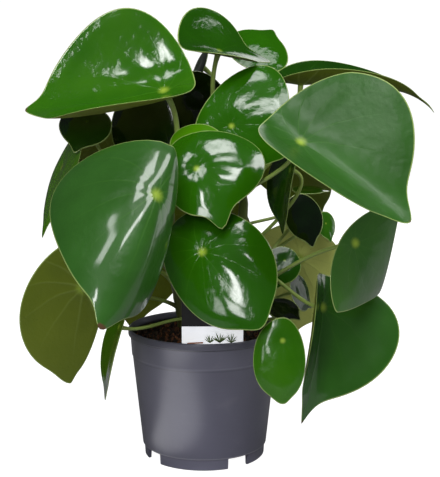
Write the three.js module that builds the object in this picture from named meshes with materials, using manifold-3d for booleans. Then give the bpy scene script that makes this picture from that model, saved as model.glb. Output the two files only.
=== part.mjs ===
// A potted peperomia: a thin plastic nursery pot on four feet, filled with soil,
// a care label pushed in at the front, and four leafy stems whose shield-shaped
// leaves hang each on its own stalk, joined to it near the middle of the blade.
// Millimetres, +Z up. Inside PLANT the origin is on the pot's axis, on the floor.
import * as THREE from 'three';
import { mergeVertices } from 'three/addons/utils/BufferGeometryUtils.js';
import Module from 'manifold-3d';

const wasm = await Module();
wasm.setup();

// ---- driving dimensions -------------------------------------------------

// The leaves reach further to the right than to the left of the pot's axis, so
// the whole plant is moved to stand centred on the origin.
const POT_AXIS = { x: -22.5, y: 16 };

const CLEARANCE = 0.3;
const MERGE_DISTANCE = 1e-3;

const POT = {
  height: 102, rimRadius: 60, sides: 40,
  footHeight: 9, footOuter: 47.5, footInner: 45.4,
  wallFoot: 49.2, wallStep: 56.7, stepHeight: 80.5, stepOut: 0.55, wallTop: 58.3,
  lipHeight: 5.2, lipOut: 1.6, wall: 1.7, floor: 1.6,
  notchWidth: 18, notchAngles: [34, 124, 214, 304],
  holeRadius: 5, holeCircle: 30, holeCount: 8,
};

const SOIL = {
  sides: 30, edgeHeight: 94, crownHeight: 103, roughness: 2.2, rings: 6,
  holeDepth: 26, seed: 41,
};

const LABEL = {
  centreX: 6.8, y: -45.2, width: 46, thickness: 0.8, bottom: 96.5, top: 141,
  corner: 3, stakeTopWidth: 20, stakeWidth: 11, stakeTip: 58, tipLength: 10,
};

const STALK = { radius: 1.7, sides: 6, steps: 6 };
const STEM = { radius: 5, sides: 8, steps: 7 };

const BLADE = {
  thickness: 1.5, point: 0.14, drip: 0.12, dripSpread: 0.26, taperFloor: 0.02,
  crease: 14, dimpleDepth: 1.6, dimpleRadius: 7,
  largeLength: 84, largeSides: 20, largeRings: [0.32, 0.62, 0.85, 1],
  smallSides: 16, smallRings: [0.4, 0.76, 1],
};
const WALK_STEPS = 14;

// Stems: foot in the soil and growing point, around the pot's axis.
const STEMS = {
  left: { foot: [-17, 0], bend: [-24, -4, 150], tip: [-28, -6, 214] },
  right: { foot: [19, 2], bend: [27, -2, 145], tip: [31, -4, 206] },
  front: { foot: [2, -16], bend: [4, -24, 150], tip: [2, -24, 222] },
  back: { foot: [2, 21], bend: [5, 30, 160], tip: [8, 30, 240] },
};

// Leaves. spot: where the stalk joins the blade. face: azimuth the upper side
// looks to (0 the front, 90 the right), rise above the horizon, and turn of the
// tip away from straight downhill. size: reach to the tip, reach to the base and
// whole width. bend: bow along the midrib, cup across the blade and fold at the
// midrib, in degrees in all (plus bends the edges away from the upper side).
// tweak: curl of the tip, twist along the blade, heel (rise of the base), lean
// (the share of the width that one side has beyond its half), skew (the same
// towards the tip, and the other way towards the base), point (how much the
// blade narrows towards its tip), sickle (bend of the outline within the blade),
// drip and spread (length and width of the narrow tip), crease (radius of the
// fold), and sway (how far the stalk bulges to the right).
const LEAVES = [
  { name: 'leaf_upper_left', stem: 'left', root: 190, spot: [-28.5, -38, 287],
    face: [-20, 52, -66], size: [102, 24, 123], bend: [-20, 0, -115], tweak: { lean: -0.08, skew: 0.1, point: 0.08, drip: 0.09, spread: 0.2, crease: 30, sway: 12 } },
  { name: 'leaf_front_left', stem: 'left', root: 160, spot: [-29, -125, 220],
    face: [38, 25, -36], size: [100, 42, 112], bend: [25, 38, 85], tweak: { lean: -0.18, skew: 0.21, point: 0.05, drip: 0.09, spread: 0.18 } },
  { name: 'leaf_front_right', stem: 'front', root: 190, spot: [67.5, -98, 253.5],
    face: [12, 43, 44], size: [92, 28, 144], bend: [8, 8, -99], tweak: { heel: 12, lean: -0.03, skew: 0.02, point: 0.08, drip: 0.13, spread: 0.2 } },
  { name: 'leaf_front_low', stem: 'front', root: 142, spot: [0, -85, 175.5],
    face: [-16, 25, 43], size: [69, 33, 74], bend: [20, 45, 5], tweak: { lean: 0.05, point: -0.05, drip: 0.06 } },
  { name: 'leaf_centre', stem: 'front', root: 175, spot: [-4, -72, 233],
    face: [-10, 30, 26], size: [48, 30, 76], bend: [35, 40, 10], tweak: { lean: 0.15, point: -0.05, drip: 0.15, spread: 0.17 } },
  { name: 'leaf_upper_centre', stem: 'front', root: 205, spot: [21, -30, 261],
    face: [0, 20, 62], size: [46, 26, 97], bend: [20, 35, 0], tweak: { lean: 0.11, point: 0 } },
  { name: 'leaf_inner_right', stem: 'right', root: 160, spot: [64.5, -28, 228],
    face: [-72, 15, 6], size: [49, 24, 54], bend: [20, 20, -66] },
  { name: 'leaf_top_left', stem: 'back', root: 225, spot: [12, 8, 317],
    face: [40, 58, 74], size: [46, 34, 83], bend: [10, 0, -62], tweak: { point: 0.03, drip: 0.22, spread: 0.2 } },
  { name: 'leaf_top_right', stem: 'back', root: 215, spot: [38, 65, 312],
    face: [0, 35, 150], size: [38, 10, 58], bend: [20, 20, 0] },
  { name: 'leaf_far_right', stem: 'back', root: 190, spot: [77, 38, 292],
    face: [27, 84, 63], size: [114, 24, 68], bend: [-4, 0, -100],
    tweak: { curl: 58, twist: -14, lean: 0.05, point: 0.5, drip: 0.12, spread: 0.2 } },
  { name: 'leaf_left_small', stem: 'left', root: 175, spot: [-88, -18, 264],
    face: [-5, 35, -15], size: [27, 14, 43], bend: [20, 25, 0] },
  { name: 'leaf_inner_left', stem: 'left', root: 205, spot: [-46, 5, 266],
    face: [-5, 25, 0], size: [54, 28, 54], bend: [20, 25, 0] },
  { name: 'leaf_left_hanging', stem: 'left', root: 145, spot: [-110, 0, 228],
    face: [-70, 24, 4], size: [57, 28, 66], bend: [18, 10, 0], tweak: { lean: 0.15 } },
  { name: 'leaf_left_low', stem: 'left', root: 115, spot: [-92, -25, 138],
    face: [-168, 12, 8], size: [79, 41, 61], bend: [15, 20, 0], tweak: { lean: 0.22, skew: 0.06, point: -0.08, drip: 0.06, spread: 0.2 } },
  { name: 'leaf_left_edge', stem: 'front', root: 106, spot: [-63, -50, 113],
    face: [-70, 19, -2], size: [57, 14, 43], bend: [20, 0, -40], tweak: { lean: 0.06 } },
  { name: 'leaf_right_middle', stem: 'right', root: 112, spot: [107, -88, 182],
    face: [30, 12, 136], size: [54, 52, 72], bend: [-15, 60, 0], tweak: { lean: -0.33, sickle: -80, point: 0.35, drip: 0.06, spread: 0.15 } },
  { name: 'leaf_right_low', stem: 'right', root: 145, spot: [89, -50, 128],
    face: [43, 10, -19], size: [87, 24, 118], bend: [15, 0, -100], tweak: { lean: 0.09, point: 0.5, drip: 0.14 } },
  { name: 'leaf_right_small', stem: 'right', root: 106, spot: [56, -104, 116],
    face: [0, 15, 0], size: [44, 16, 36], bend: [15, 50, 0], tweak: { lean: -0.07, point: -0.1, drip: 0.06 } },
  { name: 'leaf_right_behind', stem: 'back', root: 120, spot: [79, 62, 146],
    face: [165, 20, 10], size: [78, 34, 88], bend: [20, 25, 0] },
  { name: 'leaf_right_dark', stem: 'right', root: 130, spot: [79, 15, 188],
    face: [20, 20, 10], size: [26, 18, 34], bend: [15, 25, 0], tweak: { point: 0.05 } },
  { name: 'leaf_right_pale', stem: 'right', root: 136, spot: [98, 28, 180],
    face: [40, 15, 10], size: [16, 10, 22], bend: [15, 20, 0] },
  { name: 'leaf_right_thin', stem: 'back', root: 165, spot: [82, 55, 205],
    face: [0, 82, 86], size: [21, 10, 30], bend: [15, 10, 0] },
  { name: 'leaf_inner_small', stem: 'right', root: 122, spot: [63, -3, 155],
    face: [20, 30, -25], size: [24, 12, 30], bend: [15, 20, 0] },
  { name: 'leaf_grey_edge', stem: 'right', root: 100, spot: [75, 0, 130],
    face: [60, 15, 47], size: [24, 14, 30], bend: [15, 10, 0] },
  { name: 'leaf_low_dark', stem: 'right', root: 102, spot: [60, -34, 124],
    face: [10, 60, 40], size: [17, 12, 26], bend: [15, 20, 0] },
  { name: 'leaf_young', stem: 'front', root: 185, spot: [-5, -50, 249],
    face: [-10, 38, 0], size: [22, 18, 42], bend: [15, 20, 0] },
  { name: 'leaf_rear_dark', stem: 'back', root: 205, spot: [-7, 30, 279],
    face: [0, 20, 4], size: [50, 24, 54], bend: [15, 20, 0] },
  { name: 'leaf_rear_grey', stem: 'back', root: 220, spot: [-5, 62, 306],
    face: [-75, 25, 0], size: [32, 14, 36], bend: [15, 20, 0] },
  // The far side, which carries as many leaves as the near one.
  { name: 'leaf_back_high', stem: 'back', root: 208, spot: [-6, 98, 250],
    face: [176, 40, 5], size: [84, 36, 100], bend: [20, 30, 20] },
  { name: 'leaf_back_right_high', stem: 'back', root: 180, spot: [68, 106, 236],
    face: [140, 35, -10], size: [78, 34, 94], bend: [20, 30, 15] },
  { name: 'leaf_back_left_high', stem: 'left', root: 180, spot: [-78, 62, 234],
    face: [-140, 35, 10], size: [80, 34, 96], bend: [20, 30, 15] },
  { name: 'leaf_back_low', stem: 'back', root: 140, spot: [0, 120, 172],
    face: [172, 25, 8], size: [78, 34, 94], bend: [20, 30, 15] },
  { name: 'leaf_back_left_low', stem: 'left', root: 125, spot: [-56, 80, 146],
    face: [-155, 22, 0], size: [72, 32, 88], bend: [20, 30, 10] },
  { name: 'leaf_back_right_low', stem: 'back', root: 112, spot: [44, 116, 130],
    face: [160, 20, 5], size: [60, 28, 72], bend: [20, 30, 10] },
  { name: 'leaf_back_foot', stem: 'back', root: 102, spot: [0, 112, 114],
    face: [180, 30, 0], size: [46, 24, 54], bend: [20, 30, 0] },
];

// ---- solids -------------------------------------------------------------

// A closed geometry as a solid: only positions, with shared corners merged.
function solidOf(geometry) {
  const bare = new THREE.BufferGeometry();
  bare.setAttribute('position', geometry.getAttribute('position').clone());
  if (geometry.index) bare.setIndex(geometry.index.clone());
  const merged = mergeVertices(bare, MERGE_DISTANCE);
  const corners = merged.index.array;
  const triangles = [];
  for (let at = 0; at < corners.length; at += 3) {
    const [a, b, c] = [corners[at], corners[at + 1], corners[at + 2]];
    if (a !== b && b !== c && c !== a) triangles.push(a, b, c);
  }
  return new wasm.Manifold(new wasm.Mesh({
    numProp: 3,
    vertProperties: new Float32Array(merged.getAttribute('position').array),
    triVerts: new Uint32Array(triangles),
  }));
}

function geometryOf(solid) {
  const { vertProperties, triVerts, numProp } = solid.getMesh();
  const geometry = new THREE.BufferGeometry();
  const corners = new Float32Array((vertProperties.length / numProp) * 3);
  for (let at = 0; at < corners.length / 3; at += 1) {
    corners.set(vertProperties.subarray(at * numProp, at * numProp + 3), at * 3);
  }
  geometry.setAttribute('position', new THREE.BufferAttribute(corners, 3));
  geometry.setIndex(new THREE.BufferAttribute(new Uint32Array(triVerts), 1));
  geometry.computeVertexNormals();
  return geometry;
}

// A profile of [radius, height] points turned about the Z axis.
function turned(profile, sides) {
  const points = profile.map(([radius, height]) => new THREE.Vector2(radius, height));
  return new THREE.LatheGeometry(points, sides).rotateX(Math.PI / 2);
}

function tube(path, radius, sides, steps) {
  const section = new THREE.Shape();
  for (let side = 0; side < sides; side += 1) {
    const angle = (side / sides) * 2 * Math.PI;
    const [x, y] = [radius * Math.cos(angle), radius * Math.sin(angle)];
    if (side === 0) section.moveTo(x, y);
    else section.lineTo(x, y);
  }
  return new THREE.ExtrudeGeometry(section, { steps, extrudePath: path });
}

// A repeatable stream of numbers from 0 to 1.
function randomFrom(seed) {
  let state = seed;
  return () => {
    state = (state * 16807) % 2147483647;
    return state / 2147483647;
  };
}

const radians = (degrees) => THREE.MathUtils.degToRad(degrees);

// ---- pot ----------------------------------------------------------------

// Inside radius of the pot's wall at a height.
function potInside(height) {
  const slope = (POT.wallStep - POT.wallFoot) / (POT.stepHeight - POT.footHeight);
  return POT.wallFoot - POT.wall + slope * (height - POT.footHeight);
}

function potProfile() {
  const { height, rimRadius, footHeight, footOuter, footInner, floor } = POT;
  const lipBottom = height - POT.lipHeight;
  const floorTop = footHeight + floor;
  return [
    [0, footHeight], [footInner - 0.8, footHeight], [footInner - 0.4, 0.5], [footInner, 0],
    [footOuter - 0.5, 0], [footOuter, 0.5], [footOuter + 0.5, footHeight - 0.5],
    [POT.wallFoot, footHeight + 0.3],
    [POT.wallStep, POT.stepHeight], [POT.wallStep + POT.stepOut, POT.stepHeight + 0.8],
    [POT.wallTop, lipBottom - 0.6], [rimRadius - 0.5, lipBottom],
    [rimRadius, lipBottom + 1], [rimRadius, height - 1.4], [rimRadius - 0.7, height - 0.2],
    [rimRadius - 1.7, height], [potInside(height) + 0.6, height - 0.6],
    [potInside(lipBottom), lipBottom], [potInside(floorTop + 1.5), floorTop + 1.5],
    [potInside(floorTop) - 1.5, floorTop], [0, floorTop],
  ];
}

function makePot() {
  let pot = solidOf(turned(potProfile(), POT.sides));
  const footRadius = (POT.footOuter + POT.footInner) / 2;
  for (const angle of POT.notchAngles) {
    const notch = new THREE.BoxGeometry(8, POT.notchWidth, 2 * (POT.footHeight - 0.6));
    notch.translate(footRadius, 0, 0).rotateZ(radians(angle));
    pot = pot.subtract(solidOf(notch));
  }
  for (let hole = 0; hole < POT.holeCount; hole += 1) {
    const drain = new THREE.CylinderGeometry(POT.holeRadius, POT.holeRadius, 8, 10);
    drain.rotateX(Math.PI / 2).translate(POT.holeCircle, 0, POT.footHeight);
    drain.rotateZ((hole / POT.holeCount) * 2 * Math.PI);
    pot = pot.subtract(solidOf(drain));
  }
  return geometryOf(pot);
}

// ---- soil ---------------------------------------------------------------

function soilTop(radius) {
  const reach = radius / potInside(SOIL.edgeHeight);
  return SOIL.edgeHeight + (SOIL.crownHeight - SOIL.edgeHeight) * (1 - reach * reach);
}

function makeSoil() {
  const floorTop = POT.footHeight + POT.floor + CLEARANCE;
  const edge = potInside(SOIL.edgeHeight) - CLEARANCE;
  const profile = [[0, floorTop], [potInside(floorTop) - 1.8, floorTop],
    [potInside(floorTop + 1.5) - CLEARANCE, floorTop + 1.5], [edge, SOIL.edgeHeight]];
  for (let ring = 1; ring <= SOIL.rings; ring += 1) {
    const radius = edge * (1 - ring / SOIL.rings);
    profile.push([radius, soilTop(radius)]);
  }
  const heap = mergeVertices(stripped(turned(profile, SOIL.sides)), MERGE_DISTANCE);
  const random = randomFrom(SOIL.seed);
  const corners = heap.getAttribute('position');
  for (let at = 0; at < corners.count; at += 1) {
    const radius = Math.hypot(corners.getX(at), corners.getY(at));
    const onTop = corners.getZ(at) > SOIL.edgeHeight + 0.1 && radius < edge - 1;
    const lump = (random() - 0.5) * SOIL.roughness;
    if (onTop) corners.setZ(at, corners.getZ(at) + lump);
  }
  let soil = solidOf(heap);
  for (const stem of Object.values(STEMS)) {
    const path = stemPath(stem, CLEARANCE);
    soil = soil.subtract(solidOf(tube(path, STEM.radius + CLEARANCE, STEM.sides, STEM.steps)));
  }
  return geometryOf(soil.subtract(solidOf(makeLabel(CLEARANCE))));
}

function stripped(geometry) {
  const bare = new THREE.BufferGeometry();
  bare.setAttribute('position', geometry.getAttribute('position'));
  bare.setIndex(geometry.index);
  return bare;
}

// ---- care label ---------------------------------------------------------

// A flat card on a pointed stake; spare widens it all round for its slot.
function makeLabel(spare = 0) {
  const half = LABEL.width / 2 + spare;
  const [neck, stake] = [LABEL.stakeTopWidth / 2 + spare, LABEL.stakeWidth / 2 + spare];
  const { top, bottom, corner, stakeTip, tipLength } = LABEL;
  const outline = new THREE.Shape();
  outline.moveTo(0, stakeTip - spare);
  outline.lineTo(stake, stakeTip + tipLength);
  outline.lineTo(neck, bottom - 6);
  outline.lineTo(half, bottom - spare);
  outline.lineTo(half, top - corner);
  outline.absarc(half - corner, top - corner, corner, 0, Math.PI / 2);
  outline.absarc(corner - half, top - corner, corner, Math.PI / 2, Math.PI);
  outline.lineTo(-half, bottom - spare);
  outline.lineTo(-neck, bottom - 6);
  outline.lineTo(-stake, stakeTip + tipLength);
  outline.closePath();
  const depth = LABEL.thickness + 2 * spare;
  const card = new THREE.ExtrudeGeometry(outline, { depth, bevelEnabled: false, curveSegments: 3 });
  return card.rotateX(Math.PI / 2).translate(LABEL.centreX, LABEL.y + depth / 2, 0);
}

// ---- leaves -------------------------------------------------------------

// The blade's own directions: normal (upper side), tip, and across.
function bladeAxes(leaf) {
  const [azimuth, rise, turn] = leaf.face.map(radians);
  const [sinA, cosA] = [Math.sin(azimuth), Math.cos(azimuth)];
  const normal = new THREE.Vector3(sinA * Math.cos(rise), -cosA * Math.cos(rise), Math.sin(rise));
  const downhill = new THREE.Vector3(sinA * Math.sin(rise), -cosA * Math.sin(rise), -Math.cos(rise));
  const sideways = new THREE.Vector3(cosA, sinA, 0);
  const tip = downhill.multiplyScalar(Math.cos(turn)).addScaledVector(sideways, Math.sin(turn));
  const across = new THREE.Vector3().crossVectors(normal, tip);
  return { normal, tip, across };
}

// Follows a line that keeps turning: how far it gets and how far it drops.
function walk(distance, angleAt) {
  const step = distance / WALK_STEPS;
  let [along, drop] = [0, 0];
  for (let at = 0.5; at < WALK_STEPS; at += 1) {
    const angle = angleAt(at * step);
    along += Math.cos(angle) * step;
    drop += Math.sin(angle) * step;
  }
  return { along, drop, angle: angleAt(distance) };
}

// Maps flat leaf coordinates (u towards the tip, v across) to a point in space.
function bladePoint(leaf, u, v) {
  const { normal, tip, across } = bladeAxes(leaf);
  const [tipReach, baseReach, width] = leaf.size;
  const length = tipReach + baseReach;
  const [bow, cup, fold] = leaf.bend.map(radians);
  const { curl = 0, twist = 0, heel = 0, crease = BLADE.crease } = leaf.tweak ?? {};
  const rib = walk(u, (s) => bow * (s / length)
    + radians(curl) * Math.max(0, s / tipReach) ** 4 + radians(heel) * Math.max(0, -s / baseReach));
  const rim = walk(v, (s) => cup * (s / width) + (fold / 2) * (s / Math.hypot(s, crease)));
  const ribUp = normal.clone().multiplyScalar(Math.cos(rib.angle))
    .addScaledVector(tip, Math.sin(rib.angle));
  const turnHere = radians(twist) * (u / length);
  const side = across.clone().multiplyScalar(Math.cos(turnHere))
    .addScaledVector(ribUp, Math.sin(turnHere));
  const up = ribUp.clone().multiplyScalar(Math.cos(turnHere))
    .addScaledVector(across, -Math.sin(turnHere));
  const dimple = BLADE.dimpleDepth * Math.exp(-(u * u + v * v) / BLADE.dimpleRadius ** 2);
  return new THREE.Vector3(...leaf.spot)
    .addScaledVector(tip, rib.along).addScaledVector(normal, -rib.drop)
    .addScaledVector(side, rim.along).addScaledVector(up, -rim.drop - dimple);
}

// Outward direction of the upper side at a point of the blade.
function bladeNormal(leaf, u, v) {
  const reach = 0.5;
  const alongTip = bladePoint(leaf, u + reach, v).sub(bladePoint(leaf, u - reach, v));
  const alongSide = bladePoint(leaf, u, v + reach).sub(bladePoint(leaf, u, v - reach));
  return alongTip.cross(alongSide).normalize();
}

// The flat outline: rounded at the base, widest below the middle, drawn out
// into a short drip tip. Starts at the tip and runs anticlockwise.
function bladeOutline(leaf, sides) {
  const [tipReach, baseReach, width] = leaf.size;
  const length = tipReach + baseReach;
  const { lean = 0, point = BLADE.point, skew = 0, sickle = 0 } = leaf.tweak ?? {};
  const { drip: dripShare = BLADE.drip, spread = BLADE.dripSpread } = leaf.tweak ?? {};
  const drip = dripShare * length;
  const points = [];
  for (let side = 0; side < sides; side += 1) {
    const angle = (side / sides) * 2 * Math.PI;
    const nearTip = Math.min(angle, 2 * Math.PI - angle) / spread;
    const u = (length - drip) * (0.5 + 0.5 * Math.cos(angle))
      + drip * Math.exp(-nearTip * nearTip) - baseReach;
    const share = 0.5 + (lean + skew * Math.cos(angle)) * Math.sign(Math.sin(angle));
    const taper = Math.max(Math.sin(angle / 2), BLADE.taperFloor) ** point;
    const v = width * share * Math.sin(angle) * taper;
    points.push(sickle ? bentAside(u, v, length / radians(sickle)) : [u, v]);
  }
  return points;
}

// Bends flat leaf coordinates within the blade, onto an arc of this radius.
function bentAside(u, v, radius) {
  const turn = u / radius;
  return [
    radius * Math.sin(turn) - v * Math.sin(turn),
    radius * (1 - Math.cos(turn)) + v * Math.cos(turn),
  ];
}

function makeBlade(leaf) {
  const large = leaf.size[0] + leaf.size[1] > BLADE.largeLength;
  const sides = large ? BLADE.largeSides : BLADE.smallSides;
  const rings = large ? BLADE.largeRings : BLADE.smallRings;
  const outline = bladeOutline(leaf, sides);
  const flat = [[0, 0]];
  for (const ring of rings) {
    for (const [u, v] of outline) flat.push([u * ring, v * ring]);
  }
  const corners = [];
  for (const face of [0.5, -0.5]) {
    for (const [u, v] of flat) {
      const lift = bladeNormal(leaf, u, v).multiplyScalar(face * BLADE.thickness);
      corners.push(...bladePoint(leaf, u, v).add(lift));
    }
  }
  const triangles = [];
  const under = flat.length;
  const both = (a, b, c) => triangles.push(a, b, c, under + a, under + c, under + b);
  for (let side = 0; side < sides; side += 1) {
    const next = (side + 1) % sides;
    both(0, 1 + side, 1 + next);
    for (let ring = 1; ring < rings.length; ring += 1) {
      const [inner, outer] = [1 + (ring - 1) * sides, 1 + ring * sides];
      both(inner + side, outer + side, outer + next);
      both(inner + side, outer + next, inner + next);
    }
    const rim = 1 + (rings.length - 1) * sides;
    triangles.push(under + rim + side, under + rim + next, rim + next);
    triangles.push(under + rim + side, rim + next, rim + side);
  }
  const geometry = new THREE.BufferGeometry();
  geometry.setAttribute('position', new THREE.Float32BufferAttribute(corners, 3));
  geometry.setIndex(triangles);
  geometry.computeVertexNormals();
  return geometry;
}

// ---- stems and leaf stalks ----------------------------------------------

// Centre line of a stem from its foot up; spare lengthens it downwards.
function stemPath(stem, spare = 0) {
  const [x, y] = stem.foot;
  const footHeight = soilTop(Math.hypot(x, y)) - SOIL.holeDepth - spare;
  return new THREE.CatmullRomCurve3([
    new THREE.Vector3(x, y, footHeight), new THREE.Vector3(x, y, footHeight + 34),
    new THREE.Vector3(...stem.bend), new THREE.Vector3(...stem.tip),
  ]);
}

// The point of a path at a height.
function pointAtHeight(path, height) {
  let [low, high] = [0, 1];
  for (let halving = 0; halving < 30; halving += 1) {
    const middle = (low + high) / 2;
    if (path.getPoint(middle).z < height) low = middle;
    else high = middle;
  }
  return path.getPoint(low);
}

// A leaf stalk leaves the stem sideways and upwards and meets the blade square.
function stalkPath(leaf, stem) {
  const root = pointAtHeight(stem, leaf.root);
  const { normal } = bladeAxes(leaf);
  const [, cup, fold] = leaf.bend;
  const sag = 0.5 * STALK.radius * Math.max(0, Math.sin(radians(fold / 2 + cup / 6)));
  const seat = BLADE.thickness / 2 + BLADE.dimpleDepth + CLEARANCE + sag;
  const end = new THREE.Vector3(...leaf.spot).addScaledVector(normal, -seat);
  const reach = end.distanceTo(root);
  const [out, lift, arrive] = leaf.stalk ?? [0.3, 0.25, 0.35];
  const outward = new THREE.Vector3(end.x - root.x, end.y - root.y, 0).normalize();
  const first = root.clone().addScaledVector(outward, out * reach);
  first.z += lift * reach;
  const last = end.clone().addScaledVector(normal, -arrive * reach);
  last.x += leaf.tweak?.sway ?? 0;
  return new THREE.CubicBezierCurve3(root, first, last, end);
}

function makeStem(path, leaves) {
  let stem = solidOf(tube(path, STEM.radius, STEM.sides, STEM.steps));
  for (const leaf of leaves) {
    const stalk = tube(stalkPath(leaf, path), STALK.radius, STALK.sides, STALK.steps);
    stem = stem.add(solidOf(stalk));
  }
  return geometryOf(stem);
}

// ---- materials and assembly ---------------------------------------------

const material = (color, roughness) => new THREE.MeshStandardMaterial({ color, roughness, metalness: 0 });
const potPlastic = material(0x57555f, 0.42);
const soilMix = material(0x1d1512, 0.95);
const labelCard = material(0x3a3742, 0.35);
const stemGreen = material(0x9bad4e, 0.5);
const leafGreen = material(0x24591a, 0.28);

const plant = new THREE.Group();
plant.position.set(POT_AXIS.x, POT_AXIS.y, 0);

function place(name, geometry, finish) {
  const mesh = new THREE.Mesh(geometry, finish);
  mesh.name = name;
  plant.add(mesh);
}

place('pot', makePot(), potPlastic);
place('soil', makeSoil(), soilMix);
place('care_label', makeLabel(), labelCard);
for (const [name, stem] of Object.entries(STEMS)) {
  const leaves = LEAVES.filter((leaf) => leaf.stem === name);
  place(`stem_${name}`, makeStem(stemPath(stem), leaves), stemGreen);
}
for (const leaf of LEAVES) place(leaf.name, makeBlade(leaf), leafGreen);

const group = new THREE.Group();
group.add(plant);

export default group;
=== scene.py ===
"""Potted peperomia: a nursery pot of soil, four leafy stems, shield-shaped leaves and a care label.

Lengths in the tables are millimetres around the pot's axis; every mesh is made in metres in the
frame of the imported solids. -Y is the front, +Z is up.
"""

import logging
import math
import random
from dataclasses import dataclass, field
from enum import Enum

import bmesh
import bpy
import numpy as np
from bpy.types import Curve, Material, Mesh, Node, NodeSocket, NodeTree, Object
from mathutils import Matrix, Vector, noise

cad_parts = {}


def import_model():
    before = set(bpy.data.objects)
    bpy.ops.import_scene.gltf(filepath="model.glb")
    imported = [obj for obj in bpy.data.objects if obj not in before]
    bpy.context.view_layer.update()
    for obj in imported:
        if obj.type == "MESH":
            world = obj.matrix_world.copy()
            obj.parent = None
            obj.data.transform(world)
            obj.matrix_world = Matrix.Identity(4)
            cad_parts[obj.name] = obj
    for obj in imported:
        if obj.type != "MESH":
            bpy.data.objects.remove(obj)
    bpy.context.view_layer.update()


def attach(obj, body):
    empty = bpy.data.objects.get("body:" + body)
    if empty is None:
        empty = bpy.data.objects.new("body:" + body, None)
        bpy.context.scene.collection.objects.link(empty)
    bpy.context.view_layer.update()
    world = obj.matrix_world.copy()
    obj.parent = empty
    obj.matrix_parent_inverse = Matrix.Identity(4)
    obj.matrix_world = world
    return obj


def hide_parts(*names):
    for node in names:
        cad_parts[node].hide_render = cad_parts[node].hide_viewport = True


log = logging.getLogger("peperomia")

MM = 0.001
POT_PLACE = np.array([-22.5, 16.0, 0.0])
BODY = "root"
VEINS = 10
VEIN_BEND = 0.5
MIX_SHARE, MIX_FIRST, MIX_SECOND, MIX_RESULT = 0, 6, 7, 2

Rgb = tuple[float, float, float]
Point = tuple[float, float, float]


class Slot(Enum):
    """Material slots of the record, by kind of piece."""

    POT = "pot_plastic"
    SOIL = "soil_mix"
    LABEL = "label_card"
    STEM = "stem_green"
    LEAF = "leaf_green"


class Side(Enum):
    """The two faces of a blade, by their place among its materials."""

    UPPER = 0
    UNDER = 1


def in_metres(points: np.ndarray) -> np.ndarray:
    """Moves points from the pot's axis, in millimetres, to the frame, in metres.

    Args:
        points: An array of points, one a row.

    Returns:
        The same points in metres around the frame's origin.
    """
    return (points + POT_PLACE) * MM


def smoothstep(low: float, high: float, value: np.ndarray) -> np.ndarray:
    """Rises smoothly from 0 at low to 1 at high.

    Args:
        low: Value where the result is 0.
        high: Value where the result is 1.
        value: Values to convert.

    Returns:
        An array of numbers from 0 to 1.
    """
    share = np.clip((value - low) / (high - low), 0.0, 1.0)
    return share * share * (3.0 - 2.0 * share)


def add_object(name: str, mesh: Mesh) -> Object:
    """Puts a mesh in the scene under its own name.

    Args:
        name: Name of the object and its mesh.
        mesh: The finished mesh.

    Returns:
        The new object, at the origin.
    """
    mesh.name = name
    made = bpy.data.objects.new(name, mesh)
    bpy.context.scene.collection.objects.link(made)
    return made


def settle(piece: Object, slot: Slot, *nodes: str) -> None:
    """Makes a piece ride on the plant and stand for its solids.

    Args:
        piece: The finished piece.
        slot: Slot of the record; not used.
        nodes: Names of the solids that it stands for.
    """
    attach(piece, BODY)
    if nodes:
        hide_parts(*nodes)
    log.info("%s: %d vertices", piece.name, len(piece.data.vertices))


def evaluated_mesh(source: Object) -> Mesh:
    """Turns an object with live modifiers into a plain mesh, and removes the object.

    Args:
        source: The object.

    Returns:
        A new mesh that depends on nothing.
    """
    bpy.context.view_layer.update()
    graph = bpy.context.evaluated_depsgraph_get()
    mesh = bpy.data.meshes.new_from_object(
        source.evaluated_get(graph), preserve_all_data_layers=True, depsgraph=graph)
    bpy.data.objects.remove(source)
    return mesh


def grown_mesh(source: Object, tree: NodeTree, values: dict[str, object]) -> Mesh:
    """Runs a geometry tree on an object, and removes the object.

    Args:
        source: The curve or surface that the tree starts from.
        tree: The geometry tree.
        values: The tree's inputs by name.

    Returns:
        The plain mesh that the tree makes.
    """
    grow = source.modifiers.new("grow", "NODES")
    grow.node_group = tree
    for item in tree.interface.items_tree:
        if item.name in values:
            grow[item.identifier] = values[item.name]
    return evaluated_mesh(source)


def mesh_points(mesh: Mesh) -> np.ndarray:
    """Reads a mesh's points.

    Args:
        mesh: A mesh in the frame.

    Returns:
        Its points in millimetres around the pot's axis, one a row.
    """
    points = np.zeros(len(mesh.vertices) * 3)
    mesh.vertices.foreach_get("co", points)
    return points.reshape(-1, 3) / MM - POT_PLACE


def store(mesh: Mesh, name: str, numbers: np.ndarray) -> None:
    """Stores a number at each point of a mesh, under a name that the materials read."""
    attribute = mesh.attributes.new(name, "FLOAT", "POINT")
    attribute.data.foreach_set("value", numbers.astype(np.float32))


def shape_object(name: str, shape: bmesh.types.BMesh) -> Object:
    """Turns a working mesh around the pot's axis into an object in the frame.

    Args:
        name: Name of the object.
        shape: The working mesh, which is freed.

    Returns:
        The object.
    """
    move = Matrix.Translation(Vector(POT_PLACE * MM)) @ Matrix.Scale(MM, 4)
    bmesh.ops.transform(shape, matrix=move, verts=shape.verts)
    mesh = bpy.data.meshes.new(name)
    shape.to_mesh(mesh)
    shape.free()
    return add_object(name, mesh)


# ---- node trees -----------------------------------------------------------


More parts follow.
